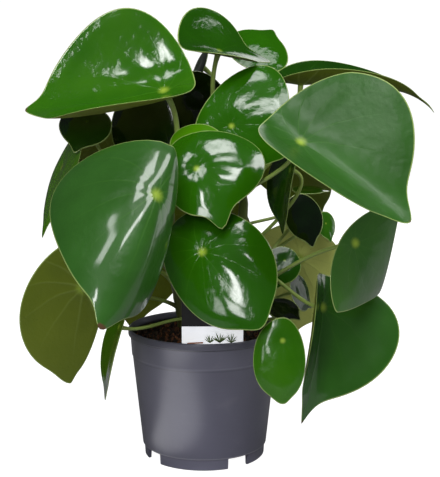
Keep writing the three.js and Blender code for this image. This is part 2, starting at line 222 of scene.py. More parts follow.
class Graph:
    """A short way to add and join nodes in a shader or geometry tree."""

    def __init__(self, tree: NodeTree) -> None:
        """Keeps the tree that the nodes go in."""
        self.tree = tree

    def add(
        self, kind: str, inputs: dict[str | int, object] | None = None, **settings: object
    ) -> Node:
        """Adds a node.

        Args:
            kind: Blender's name of the node's class.
            inputs: What its inputs get, by their names or places.
            settings: Properties of the node, such as operation.

        Returns:
            The new node.
        """
        node = self.tree.nodes.new(kind)
        for name, value in settings.items():
            setattr(node, name, value)
        for key, value in (inputs or {}).items():
            self.put(node.inputs[key], value)
        return node

    def put(self, socket: NodeSocket, value: object) -> None:
        """Joins an output to a socket, or sets the socket to a plain value.

        Args:
            socket: The input socket.
            value: An output socket, a number, a colour or a text.
        """
        if isinstance(value, NodeSocket):
            self.tree.links.new(value, socket)
            return
        if isinstance(value, tuple) and len(value) == 3 and socket.type == "RGBA":
            value = (*value, 1.0)
        socket.default_value = value

    def math(self, operation: str, *values: object, clamp: bool = False) -> NodeSocket:
        """Adds a sum on numbers.

        Args:
            operation: Name of the sum, such as MULTIPLY.
            values: Its inputs, sockets or numbers.
            clamp: Whether the result is kept from 0 to 1.

        Returns:
            The socket of the result.
        """
        inputs = dict(enumerate(values))
        node = self.add("ShaderNodeMath", inputs, operation=operation, use_clamp=clamp)
        return node.outputs[0]

    def vector(self, operation: str, *values: object) -> Node:
        """Adds a sum on vectors and returns its node."""
        return self.add("ShaderNodeVectorMath", dict(enumerate(values)), operation=operation)

    def step(self, value: object, low: float, high: float) -> NodeSocket:
        """Adds a smooth step between two values; the result falls where low is above high.

        Args:
            value: The socket that is read.
            low: Value where the result is 0.
            high: Value where the result is 1.

        Returns:
            The socket of the result.
        """
        falls = low > high
        node = self.add(
            "ShaderNodeMapRange",
            {"Value": value, "From Min": min(low, high), "From Max": max(low, high),
             "To Min": 1.0 if falls else 0.0, "To Max": 0.0 if falls else 1.0},
            interpolation_type="SMOOTHSTEP")
        return node.outputs["Result"]

    def over(self, colour: object, paint: object, mask: object, share: float = 1.0) -> NodeSocket:
        """Lays a paint over a colour where a mask shows.

        Args:
            colour: Colour or socket below.
            paint: Colour or socket on top.
            mask: Socket from 0 to 1.
            share: How much of the paint shows where the mask is 1.

        Returns:
            The socket of the mixed colour.
        """
        if share != 1.0:
            mask = self.math("MULTIPLY", mask, share)
        inputs = {MIX_SHARE: mask, MIX_FIRST: colour, MIX_SECOND: paint}
        return self.add("ShaderNodeMix", inputs, data_type="RGBA").outputs[MIX_RESULT]

    def noise(self, vector: object, scale: object, detail: float = 2.0) -> NodeSocket:
        """Adds a noise pattern.

        Args:
            vector: Coordinates that it reads.
            scale: Lumps in a metre.
            detail: Finer layers on top.

        Returns:
            The socket of its height, about 0.5 on average.
        """
        inputs = {"Vector": vector, "Scale": scale, "Detail": detail}
        return self.add("ShaderNodeTexNoise", inputs).outputs["Fac"]

    def ramp(self, value: object, stops: list[tuple[float, Rgb]]) -> NodeSocket:
        """Adds a colour ramp.

        Args:
            value: The socket that chooses the place on the ramp.
            stops: Places and their colours.

        Returns:
            The socket of the colour.
        """
        node = self.add("ShaderNodeValToRGB", {"Fac": value})
        elements = node.color_ramp.elements
        while len(elements) < len(stops):
            elements.new(0.5)
        for element, (place, colour) in zip(elements, stops):
            element.position = place
            element.color = (*colour, 1.0)
        return node.outputs["Color"]

    def attribute(self, name: str) -> NodeSocket:
        """Returns the socket of one of the piece's own attributes."""
        node = self.add("ShaderNodeAttribute", attribute_type="GEOMETRY", attribute_name=name)
        return node.outputs["Fac"]

    def object_place(self) -> NodeSocket:
        """Returns the socket of the Object coordinates."""
        return self.add("ShaderNodeTexCoord").outputs["Object"]


def new_group(
    name: str, kind: str, inputs: list[tuple[str, str, object]], outputs: list[tuple[str, str]]
) -> tuple[NodeTree, Node, Node]:
    """Starts a node group with named sockets.

    Args:
        name: Name of the group.
        kind: Class of the tree.
        inputs: Name, socket class and default value of each input.
        outputs: Name and socket class of each output.

    Returns:
        The tree, its group input node and its group output node.
    """
    tree = bpy.data.node_groups.new(name, kind)
    for label, socket_kind, value in inputs:
        socket = tree.interface.new_socket(label, in_out="INPUT", socket_type=socket_kind)
        if value is not None:
            socket.default_value = value
    for label, socket_kind in outputs:
        tree.interface.new_socket(label, in_out="OUTPUT", socket_type=socket_kind)
    return tree, tree.nodes.new("NodeGroupInput"), tree.nodes.new("NodeGroupOutput")


class SharedEffects:
    """Shader groups that more than one material uses, each made once."""

    FLOAT = "NodeSocketFloat"

    def __init__(self) -> None:
        """Builds the groups."""
        self.veins = self._make_veins()
        self.grain = self._make_grain()
        self.mottle = self._make_mottle()

    def _make_veins(self) -> NodeTree:
        """Makes the star of veins that leaves the stalk's spot and bends towards the tip.

        Returns:
            A group that reads the blade's flat coordinates.
        """
        tree, given, result = new_group(
            "BladeVeins", "ShaderNodeTree",
            [("Vein Width", self.FLOAT, 0.008), ("Spot Size", self.FLOAT, 0.045)],
            [("Vein", self.FLOAT), ("Spot", self.FLOAT)])
        graph = Graph(tree)
        sway, fade_out = 0.03, 0.6
        middle = 0.5 + sway / 2
        flat = graph.add("ShaderNodeUVMap", uv_map="blade").outputs["UV"]
        wander = graph.add("ShaderNodeTexNoise", {"Vector": flat, "Scale": 6.0})
        swayed = graph.vector("MULTIPLY_ADD", wander.outputs["Color"], (sway, sway, 0.0), flat)
        centred = graph.vector("SUBTRACT", swayed.outputs[0], (middle, middle, 0.0)).outputs[0]
        reach = graph.vector("LENGTH", centred).outputs["Value"]
        parts = graph.add("ShaderNodeSeparateXYZ", {0: centred})
        angle = graph.math("ARCTAN2", parts.outputs["Y"], parts.outputs["X"])
        straightened = graph.math(
            "DIVIDE", angle, graph.math("MULTIPLY_ADD", reach, -VEIN_BEND, 1.0))
        off_vein = graph.math("PINGPONG", straightened, math.pi / VEINS)
        distance = graph.math("MULTIPLY", off_vein, reach)
        line = graph.math("DIVIDE", distance, given.outputs["Vein Width"])
        fade = graph.step(reach, fade_out, 0.0)
        spot = graph.math("DIVIDE", reach, given.outputs["Spot Size"])
        graph.put(result.inputs["Vein"], graph.math("MULTIPLY", graph.step(line, 1.0, 0.0), fade))
        graph.put(result.inputs["Spot"], graph.step(spot, 1.0, 0.0))
        return tree

    def _make_grain(self) -> NodeTree:
        """Makes the fine uneven skin that breaks up reflections.

        Returns:
            A group whose height feeds a Bump node.
        """
        tree, given, result = new_group(
            "FineSkin", "ShaderNodeTree",
            [("Lumps", self.FLOAT, 420.0), ("Pores", self.FLOAT, 1300.0)],
            [("Height", self.FLOAT)])
        graph = Graph(tree)
        place = graph.object_place()
        heights = [graph.math("MULTIPLY", graph.noise(place, given.outputs[name], 1.0), share)
                   for name, share in (("Lumps", 0.7), ("Pores", 0.3))]
        graph.put(result.inputs["Height"], graph.math("ADD", *heights))
        return tree

    def _make_mottle(self) -> NodeTree:
        """Makes slow cloudy variation for colour and gloss.

        Returns:
            A group with a cloud from -1 to 1.
        """
        tree, given, result = new_group(
            "SlowCloud", "ShaderNodeTree",
            [("Scale", self.FLOAT, 30.0)], [("Cloud", self.FLOAT)])
        graph = Graph(tree)
        texture = graph.noise(graph.object_place(), given.outputs["Scale"], 3.0)
        graph.put(result.inputs["Cloud"], graph.math("MULTIPLY_ADD", texture, 4.0, -2.0))
        return tree


class Finish:
    """A material under construction: its graph and its Principled BSDF."""

    def __init__(self, name: str, effects: SharedEffects) -> None:
        """Starts an empty material.

        Args:
            name: Name of the material.
            effects: The shared groups.
        """
        self.material = bpy.data.materials.new(name)
        self.material.use_nodes = True
        self.effects = effects
        self.graph = Graph(self.material.node_tree)
        self.shader = self.material.node_tree.nodes["Principled BSDF"]

    def use(self, tree: NodeTree, **values: float) -> Node:
        """Adds a shared group with its own values, with _ for a space in their names."""
        inputs = {name.replace("_", " "): value for name, value in values.items()}
        return self.graph.add("ShaderNodeGroup", inputs, node_tree=tree)

    def cloud(self, scale: float) -> NodeSocket:
        """Adds slow variation from -1 to 1, with a scale in lumps a metre."""
        return self.use(self.effects.mottle, Scale=scale).outputs["Cloud"]

    def grain(self, lumps: float, pores: float) -> NodeSocket:
        """Adds the height of a fine skin, from two sizes of lump, both in lumps a metre."""
        return self.use(self.effects.grain, Lumps=lumps, Pores=pores).outputs["Height"]

    def set(self, **values: object) -> None:
        """Sets or joins sockets of the shader, with _ for a space in their names."""
        for name, value in values.items():
            self.graph.put(self.shader.inputs[name.replace("_", " ")], value)

    def bump(self, height: object, strength: float, distance: float) -> Material:
        """Gives the surface a relief, which completes the material.

        Args:
            height: Socket of the height, from 0 to 1.
            strength: Share of the relief that shows.
            distance: Height in metres that 1 stands for.

        Returns:
            The material.
        """
        inputs = {"Strength": strength, "Distance": distance, "Height": height}
        self.set(Normal=self.graph.add("ShaderNodeBump", inputs).outputs["Normal"])
        return self.material


# ---- finishes ---------------------------------------------------------------


@dataclass(frozen=True)
class LeafFinish:
    """Colours and gloss of the leaves, upper side and underside."""

    # The darkest end also serves as painted shade on leaves deep in the plant.
    deep: Rgb = (0.0006, 0.005, 0.0004)
    full: Rgb = (0.015, 0.088, 0.0008)
    bright: Rgb = (0.07, 0.22, 0.002)
    vein: Rgb = (0.05, 0.16, 0.01)
    spot: Rgb = (0.25, 0.36, 0.035)
    margin: Rgb = (0.3, 0.4, 0.12)
    # A pale grey film: painted sheen laid over the upper side.
    dust_and_sheen: Rgb = (0.15, 0.19, 0.165)
    dry: Rgb = (0.07, 0.036, 0.016)
    under_deep: Rgb = (0.03, 0.055, 0.0006)
    under_full: Rgb = (0.15, 0.19, 0.016)
    # The palest underside also serves as painted light, for the leaf lit from behind.
    under_pale: Rgb = (0.5, 0.56, 0.15)
    drift: float = 0.12
    gloss: float = 0.08
    wax: float = 0.9
    wax_gloss: float = 0.09
    under_gloss: float = 0.5

    def _start(
        self, name: str, effects: SharedEffects, scale: float, shades: tuple[Rgb, Rgb, Rgb]
    ) -> tuple[Finish, NodeSocket, NodeSocket, NodeSocket]:
        """Starts one side of the leaves with its colour from dark to pale.

        Args:
            name: Name of the material.
            effects: The shared groups.
            scale: Scale of the slow variation, in lumps a metre.
            shades: The dark, the middle and the pale colour.

        Returns:
            The finish, its slow variation, its place between dark and pale, and its colour.
        """
        finish = Finish(name, effects)
        graph = finish.graph
        cloud = finish.cloud(scale)
        # The tone carries painted shade on the dark inner leaves and painted light on the pale leaf
        # behind, besides each leaf's own tone.
        tone = graph.math("MULTIPLY_ADD", cloud, self.drift, graph.attribute("tone"))
        place = graph.math("MULTIPLY_ADD", tone, 0.5, 0.5, clamp=True)
        return finish, cloud, place, graph.ramp(place, list(zip((0.0, 0.5, 1.0), shades)))

    def _edged(self, graph: Graph, colour: object, share: float) -> NodeSocket:
        """Lays the pale margin over a colour, along the rim."""
        rim = graph.step(graph.attribute("edge"), 0.8, 0.25)
        return graph.over(colour, self.margin, rim, share)

    def upper(self, effects: SharedEffects) -> Material:
        """Makes the glossy upper side.

        Args:
            effects: The shared groups.

        Returns:
            The material.
        """
        finish, cloud, place, colour = self._start(
            "leaf_upper", effects, 28.0, (self.deep, self.full, self.bright))
        graph = finish.graph
        veins = finish.use(effects.veins, Vein_Width=0.007, Spot_Size=0.05)
        # Veins and spot fade on leaves that are painted dark as shade.
        pale_and_lit = graph.step(place, 0.05, 0.5)
        star = graph.math("MULTIPLY", veins.outputs["Vein"], pale_and_lit)
        star = graph.math("MULTIPLY", star, graph.attribute("breadth"))
        colour = graph.over(colour, self.vein, star, 0.3)
        # Painted sheen: a pale grey film over the colour, by the leaf's sheen share.
        dust_and_sheen = graph.math("MULTIPLY_ADD", cloud, 0.25, 1.0)
        dust_and_sheen = graph.math("MULTIPLY", dust_and_sheen, graph.attribute("painted_sheen"), clamp=True)
        colour = graph.over(colour, self.dust_and_sheen, dust_and_sheen)
        spot = graph.math("MULTIPLY", veins.outputs["Spot"], pale_and_lit)
        colour = graph.over(colour, self.spot, spot)
        colour = self._edged(graph, colour, 0.75)
        patch = graph.noise(graph.object_place(), 260.0)
        dryness = graph.math("MULTIPLY_ADD", patch, 0.5, graph.attribute("dry"))
        dried = graph.step(dryness, 0.62, 0.78)
        colour = graph.over(colour, self.dry, dried)
        gloss = graph.math("MULTIPLY_ADD", graph.attribute("satin"), 0.3, self.gloss)
        gloss = graph.math("MULTIPLY_ADD", cloud, 0.02, gloss)
        wax = graph.math("MULTIPLY_ADD", dried, -self.wax, self.wax, clamp=True)
        wax = graph.math("MULTIPLY", wax, graph.attribute("shine"))
        finish.set(Base_Color=colour, Roughness=graph.math("MULTIPLY_ADD", dried, 0.3, gloss),
                   Specular_IOR_Level=0.3, Coat_Weight=wax, Coat_Roughness=self.wax_gloss,
                   Coat_IOR=1.6)
        fine, swell = finish.grain(360.0, 900.0), finish.grain(60.0, 170.0)
        relief = graph.math("MULTIPLY_ADD", swell, 8.0, fine)
        return finish.bump(graph.math("MULTIPLY_ADD", star, -0.8, relief), 0.9, 0.00013)

    def under(self, effects: SharedEffects) -> Material:
        """Makes the matte olive underside with its raised pale veins.

        Args:
            effects: The shared groups.

        Returns:
            The material.
        """
        finish, _, _, colour = self._start(
            "leaf_underside", effects, 24.0, (self.under_deep, self.under_full, self.under_pale))
        graph = finish.graph
        veins = finish.use(effects.veins, Vein_Width=0.013, Spot_Size=0.07)
        colour = graph.over(colour, self.margin, veins.outputs["Vein"], 0.14)
        specks = graph.step(graph.noise(graph.object_place(), 420.0), 0.72, 0.78)
        colour = graph.over(colour, self.deep, specks, 0.6)
        colour = graph.over(colour, self.spot, veins.outputs["Spot"])
        colour = self._edged(graph, colour, 0.6)
        dried = graph.step(graph.attribute("dry"), 0.35, 0.7)
        colour = graph.over(colour, self.dry, dried)
        finish.set(Base_Color=colour, Roughness=self.under_gloss, Specular_IOR_Level=0.12)
        relief = graph.math(
            "MULTIPLY_ADD", veins.outputs["Vein"], 0.5, finish.grain(300.0, 800.0))
        return finish.bump(relief, 0.4, 0.0008)


@dataclass(frozen=True)
class StemFinish:
    """Colours of the stems and leaf stalks."""

    young: Rgb = (0.24, 0.34, 0.07)
    old: Rgb = (0.08, 0.09, 0.025)
    blush: Rgb = (0.18, 0.08, 0.035)
    gloss: float = 0.42

    def make(self, effects: SharedEffects) -> Material:
        """Makes the smooth, streaked skin of stems and stalks.

        Args:
            effects: The shared groups.

        Returns:
            The material.
        """
        finish = Finish("stem_skin", effects)
        graph = finish.graph
        age = graph.math("MULTIPLY_ADD", finish.cloud(60.0), 0.12, graph.attribute("age"))
        colour = graph.over(self.young, self.old, graph.step(age, 0.1, 0.9))
        fleck = graph.step(graph.noise(graph.object_place(), 900.0), 0.6, 0.72)
        colour = graph.over(colour, self.blush, fleck, 0.35)
        finish.set(Base_Color=colour, Roughness=self.gloss)
        return finish.bump(finish.grain(500.0, 1500.0), 0.4, 0.0005)


@dataclass(frozen=True)
class PotFinish:
    """Moulded dark plastic with a satin face."""

    body: Rgb = (0.12, 0.119, 0.168)
    worn: Rgb = (0.155, 0.153, 0.21)
    dust: Rgb = (0.27, 0.26, 0.285)
    # Painted shade under the lip, over the lip and under the step.
    painted_shade: Rgb = (0.04, 0.04, 0.055)
    # Painted highlight along the foot's edge and the step.
    painted_highlight: Rgb = (0.42, 0.42, 0.48)
    # Painted shade for the inside of the wall, below the lip.
    damp_and_shade: Rgb = (0.012, 0.011, 0.012)
    gloss: float = 0.38
    blur: float = 0.0004

    def _banded(self, graph: Graph, colour: object, place: object) -> NodeSocket:
        """Lays painted highlights and painted shade in bands around the wall over a colour.

        Args:
            graph: The material's graph.
            colour: The colour below.
            place: The Object coordinates.

        Returns:
            The socket of the colour.
        """
        height = graph.add("ShaderNodeSeparateXYZ", {0: place}).outputs["Z"]
        # Painted highlights on the foot's edge and the step; painted shade under and over the lip
        # and under the step.
        bands = {
            "foot edge": (0.0087, 0.0098, self.painted_highlight, 0.5),
            "under the lip": (0.0958, 0.0969, self.painted_shade, 0.65),
            "lip": (0.0972, 0.12, self.painted_shade, 0.4),
            "under the step": (0.0794, 0.0803, self.painted_shade, 0.3),
            "step": (0.0813, 0.0822, self.painted_highlight, 0.12),
        }
        for low, high, paint, share in bands.values():
            band = graph.math(
                "MULTIPLY", graph.step(height, low - self.blur, low + self.blur),
                graph.step(height, high + self.blur, high - self.blur))
            colour = graph.over(colour, paint, band, share)
        return colour

    def make(self, effects: SharedEffects) -> Material:
        """Makes the pot's plastic.

        Args:
            effects: The shared groups.

        Returns:
            The material.
        """
        finish = Finish("pot_plastic_satin", effects)
        graph = finish.graph
        place = graph.object_place()
        colour = graph.over(self.body, self.worn, graph.step(finish.cloud(18.0), -1.0, 1.6))
        streaks = graph.add("ShaderNodeMapping", {"Vector": place, "Scale": (1.0, 1.0, 9.0)})
        rings = graph.step(graph.noise(streaks.outputs["Vector"], 60.0), 0.55, 0.8)
        colour = graph.over(colour, self.worn, rings, 0.22)
        dust_and_sheen = graph.step(graph.noise(place, 75.0, 4.0), 0.56, 0.78)
        colour = graph.over(colour, self.dust, dust_and_sheen, 0.16)
        colour = self._banded(graph, colour, place)
        # Painted shade over the inside of the wall.
        colour = graph.over(colour, self.damp_and_shade, graph.attribute("inside"))
        scuffs = graph.step(graph.noise(streaks.outputs["Vector"], 420.0, 3.0), 0.62, 0.7)
        rough = graph.math("MULTIPLY_ADD", dust_and_sheen, 0.12, self.gloss)
        rough = graph.math("MULTIPLY_ADD", scuffs, 0.08, rough)
        finish.set(Base_Color=colour, Roughness=rough, Specular_IOR_Level=0.7)
        return finish.bump(finish.grain(700.0, 2600.0), 0.18, 0.0003)


@dataclass(frozen=True)
class SoilFinish:
    """Dark potting mix and the crumbs and fibres on it."""

    wet: Rgb = (0.0065, 0.0045, 0.0035)
    peat: Rgb = (0.035, 0.016, 0.008)
    fibre: Rgb = (0.16, 0.06, 0.022)

    def heap(self, effects: SharedEffects) -> Material:
        """Makes the soil's own surface.

        Args:
            effects: The shared groups.

        Returns:
            The material.
        """
        finish = Finish("soil_heap_mix", effects)
        damp_and_shade = finish.graph.step(finish.cloud(160.0), -0.6, 1.4)
        finish.set(Base_Color=finish.graph.over(self.wet, self.peat, damp_and_shade), Roughness=0.9)
        return finish.bump(finish.grain(550.0, 1900.0), 1.0, 0.0016)

    def crumbs(self, effects: SharedEffects) -> Material:
        """Makes the crumbs, from black to reddish brown.

        Args:
            effects: The shared groups.

        Returns:
            The material.
        """
        finish = Finish("soil_crumbs_mix", effects)
        graph = finish.graph
        stops = [(0.0, self.wet), (0.62, self.peat), (1.0, self.fibre)]
        finish.set(Base_Color=graph.ramp(graph.attribute("hue"), stops), Roughness=0.85)
        return finish.bump(finish.grain(900.0, 2500.0), 0.8, 0.0006)


@dataclass(frozen=True)
class LabelFinish:
    """Printed card of the care label."""

    # A dark print, darkened further as painted shade.
    slate: Rgb = (0.012, 0.0115, 0.013)
    white: Rgb = (0.86, 0.88, 0.94)
    sprig: Rgb = (0.13, 0.2, 0.06)
    clay: Rgb = (0.42, 0.17, 0.09)
    gloss: float = 0.4
    white_glow: float = 0.55

    def inks(self, effects: SharedEffects) -> dict[str, Material]:
        """Makes the printed areas of the card.

        Args:
            effects: The shared groups.

        Returns:
            The materials of the slate field, the white strip, the sprigs and the clay line. The
            slate is a dark print made darker still as painted shade, and the white one glows
            faintly, painted light which keeps the bright card bright in the shade.
        """
        made = {}
        colours = {"slate": self.slate, "white": self.white, "sprig": self.sprig,
                   "clay": self.clay}
        for name, ink in colours.items():
            finish = Finish(f"label_{name}", effects)
            graph = finish.graph
            lighter = tuple(min(1.0, part * 1.25 + 0.004) for part in ink)
            printed = graph.over(ink, lighter, graph.step(finish.cloud(40.0), -1.2, 1.6))
            finish.set(Base_Color=printed, Roughness=self.gloss)
            # Painted light: the white strip glows faintly.
            if name == "white":
                finish.set(Emission_Color=printed, Emission_Strength=self.white_glow)
            made[name] = finish.bump(finish.grain(900.0, 3200.0), 0.12, 0.0002)
        return made


# ---- leaves -----------------------------------------------------------------


@dataclass(frozen=True)
class Leaf:
    """One leaf: where its stalk meets the blade, how it faces, its size, its bends and its look.

    face is the azimuth that the upper side looks to, its rise above the horizon, and the turn of
    the tip away from straight downhill. size is the reach to the tip, the reach to the base and
    the whole width. bend is the bow along the midrib, the cup across the blade and the fold at
    the midrib, in degrees in all. lean gives one side more of the width, skew does so towards the
    tip and the other way towards the base, point narrows the blade towards its tip, and sickle
    bends the outline within the blade, in degrees. drip is the narrow tip's share of the length,
    and crease is the radius of the fold. curl bends the tip down and heel the base, twist turns
    the tip about the midrib, in degrees, and sway shifts the stalk's bend to the right.

    Its tone is how pale the leaf is, darkest at -1 and palest from 1 up: partly the leaf's own
    tone, partly painted shade on leaves deep in the plant and painted light on the leaf lit from
    behind. dry is how brown its tip is, the sheen share how much painted grey sheen lies over its
    colour, satin how blurred its gloss is and shine how much wax it has.
    """

    name: str
    stem: str
    root: float
    spot: Point
    face: Point
    size: Point
    bend: Point
    curl: float = 0.0
    twist: float = 0.0
    heel: float = 0.0
    lean: float = 0.0
    point: float = 0.14
    skew: float = 0.0
    sickle: float = 0.0
    drip: float = 0.12
    drip_spread: float = 0.26
    crease: float = 14.0
    sway: float = 0.0
    tone: float = 0.0
    dry: float = 0.0
    painted_sheen: float = 0.0
    satin: float = 0.1
    shine: float = 1.0
    stalk_radius: float = 1.8

    @property
    def length(self) -> float:
        """Returns the whole length of the blade."""
        return self.size[0] + self.size[1]


# In the table the tone gives painted shade to the dark inner leaves and painted light to
# leaf_right_behind; the sheen share is painted sheen.
LEAVES = (
    Leaf("leaf_upper_left", "left", 190, (-28.5, -38, 287), (-20, 52, -66), (102, 24, 123),
         (-20, 0, -115), lean=-0.08, point=0.08, skew=0.1, drip=0.09, drip_spread=0.2, crease=30,
         sway=12, tone=0.1, dry=0.55, stalk_radius=2.0),
    Leaf("leaf_front_left", "left", 160, (-29, -125, 220), (38, 25, -36), (100, 42, 112),
         (25, 38, 85), lean=-0.18, point=0.05, skew=0.21, drip=0.09, drip_spread=0.18, tone=-0.18,
         dry=0.8, painted_sheen=0.05, satin=0.9, stalk_radius=1.6),
    Leaf("leaf_front_right", "front", 190, (67.5, -98, 253.5), (12, 43, 44), (92, 28, 144),
         (8, 8, -99), heel=12, lean=-0.03, point=0.08, skew=0.02, drip=0.13, drip_spread=0.2,
         tone=-0.1, dry=0.5, painted_sheen=0.04, satin=0.9, shine=0.05, stalk_radius=1.5),
    Leaf("leaf_front_low", "front", 142, (0, -85, 175.5), (-16, 25, 43), (69, 33, 74), (20, 45, 5),
         lean=0.05, point=-0.05, drip=0.06, tone=-0.1, stalk_radius=1.6),
    Leaf("leaf_centre", "front", 175, (-4, -72, 233), (-10, 30, 26), (48, 30, 76), (35, 40, 10),
         lean=0.15, point=-0.05, drip=0.15, drip_spread=0.17, tone=-0.1, stalk_radius=1.6),
    Leaf("leaf_upper_centre", "front", 205, (21, -30, 261), (0, 20, 62), (46, 26, 97), (20, 35, 0),
         lean=0.11, point=0, tone=-0.1, shine=0.5, stalk_radius=2.0),
    Leaf("leaf_inner_right", "right", 160, (64.5, -28, 228), (-72, 15, 6), (49, 24, 54),
         (20, 20, -66), tone=-0.6, stalk_radius=1.4),
    Leaf("leaf_top_left", "back", 225, (12, 8, 317), (40, 58, 74), (46, 34, 83), (10, 0, -62),
         point=0.03, drip=0.22, drip_spread=0.2, tone=-0.4, shine=0.15),
    Leaf("leaf_top_right", "back", 215, (38, 65, 312), (0, 35, 150), (38, 10, 58), (20, 20, 0),
         tone=-0.1, dry=0.6, satin=0.0, shine=0.05),
    Leaf("leaf_far_right", "back", 190, (77, 38, 292), (27, 84, 63), (114, 24, 68), (-4, 0, -100),
         curl=58, twist=-14, lean=0.05, point=0.5, drip_spread=0.2, tone=-0.6, dry=0.5, satin=0.2,
         shine=0.4, stalk_radius=1.6),
    Leaf("leaf_left_small", "left", 175, (-88, -18, 264), (-5, 35, -15), (27, 14, 43), (20, 25, 0),
         tone=-0.7, stalk_radius=1.4),
    Leaf("leaf_inner_left", "left", 205, (-46, 5, 266), (-5, 25, 0), (54, 28, 54), (20, 25, 0),
         tone=-0.95, stalk_radius=1.4),
    Leaf("leaf_left_hanging", "left", 145, (-110, 0, 228), (-70, 24, 4), (57, 28, 66), (18, 10, 0),
         lean=0.15, tone=1.0, shine=0.1),
    Leaf("leaf_left_low", "left", 115, (-92, -25, 138), (-168, 12, 8), (79, 41, 61), (15, 20, 0),
         lean=0.22, point=-0.08, skew=0.06, drip=0.06, drip_spread=0.2, tone=-0.5,
         stalk_radius=1.5),
    Leaf("leaf_left_edge", "front", 106, (-63, -50, 113), (-70, 19, -2), (57, 14, 43), (20, 0, -40),
         lean=0.06, tone=0.2, dry=0.6, stalk_radius=1.3),
    Leaf("leaf_right_middle", "right", 112, (107, -88, 182), (30, 12, 136), (54, 52, 72),
         (-15, 60, 0), lean=-0.33, point=0.35, sickle=-80, drip=0.06, drip_spread=0.15, tone=0.1,
         dry=0.5, painted_sheen=0.08, satin=1.0, stalk_radius=1.5),
    Leaf("leaf_right_low", "right", 145, (89, -50, 128), (43, 10, -19), (87, 24, 118),
         (15, 0, -100), lean=0.09, point=0.5, drip=0.14, tone=-0.15, dry=0.6, painted_sheen=0.04, satin=0.5,
         stalk_radius=1.5),
    Leaf("leaf_right_small", "right", 106, (56, -104, 116), (0, 15, 0), (44, 16, 36), (15, 50, 0),
         lean=-0.07, point=-0.1, drip=0.06, tone=0.15, satin=0.4, shine=0.55, stalk_radius=1.4),
    Leaf("leaf_right_behind", "back", 120, (79, 62, 146), (165, 20, 10), (78, 34, 88), (20, 25, 0),
         tone=1.5),
    Leaf("leaf_right_dark", "right", 130, (79, 15, 188), (20, 20, 10), (26, 18, 34), (15, 25, 0),
         point=0.05, tone=-1.0, stalk_radius=1.3),
    Leaf("leaf_right_pale", "right", 136, (98, 28, 180), (40, 15, 10), (16, 10, 22), (15, 20, 0),
         tone=0.1, stalk_radius=1.3),
    Leaf("leaf_right_thin", "back", 165, (82, 55, 205), (0, 82, 86), (21, 10, 30), (15, 10, 0),
         tone=-0.5, stalk_radius=1.3),
    Leaf("leaf_inner_small", "right", 122, (63, -3, 155), (20, 30, -25), (24, 12, 30), (15, 20, 0),
         tone=-0.35, satin=0.3, shine=0.05, stalk_radius=1.3),
    Leaf("leaf_grey_edge", "right", 100, (75, 0, 130), (60, 15, 47), (24, 14, 30), (15, 10, 0),
         tone=-0.7, satin=0.3, shine=0.05, stalk_radius=1.2),
    Leaf("leaf_low_dark", "right", 102, (60, -34, 124), (10, 60, 40), (17, 12, 26), (15, 20, 0),
         tone=-1.0, stalk_radius=1.2),
    Leaf("leaf_young", "front", 185, (-5, -50, 249), (-10, 38, 0), (22, 18, 42), (15, 20, 0),
         tone=0.6, stalk_radius=1.5),
    Leaf("leaf_rear_dark", "back", 205, (-7, 30, 279), (0, 20, 4), (50, 24, 54), (15, 20, 0),
         tone=-0.95),
    Leaf("leaf_rear_grey", "back", 220, (-5, 62, 306), (-75, 25, 0), (32, 14, 36), (15, 20, 0),
         tone=-0.8),
    Leaf("leaf_back_high", "back", 208, (-6, 98, 250), (176, 40, 5), (84, 36, 100), (20, 30, 20)),
    Leaf("leaf_back_right_high", "back", 180, (68, 106, 236), (140, 35, -10), (78, 34, 94),
         (20, 30, 15)),
    Leaf("leaf_back_left_high", "left", 180, (-78, 62, 234), (-140, 35, 10), (80, 34, 96),
         (20, 30, 15)),
    Leaf("leaf_back_low", "back", 140, (0, 120, 172), (172, 25, 8), (78, 34, 94), (20, 30, 15)),
    Leaf("leaf_back_left_low", "left", 125, (-56, 80, 146), (-155, 22, 0), (72, 32, 88),
         (20, 30, 10)),
    Leaf("leaf_back_right_low", "back", 112, (44, 116, 130), (160, 20, 5), (60, 28, 72),
         (20, 30, 10)),
    Leaf("leaf_back_foot", "back", 102, (0, 112, 114), (180, 30, 0), (46, 24, 54), (20, 30, 0)),
)


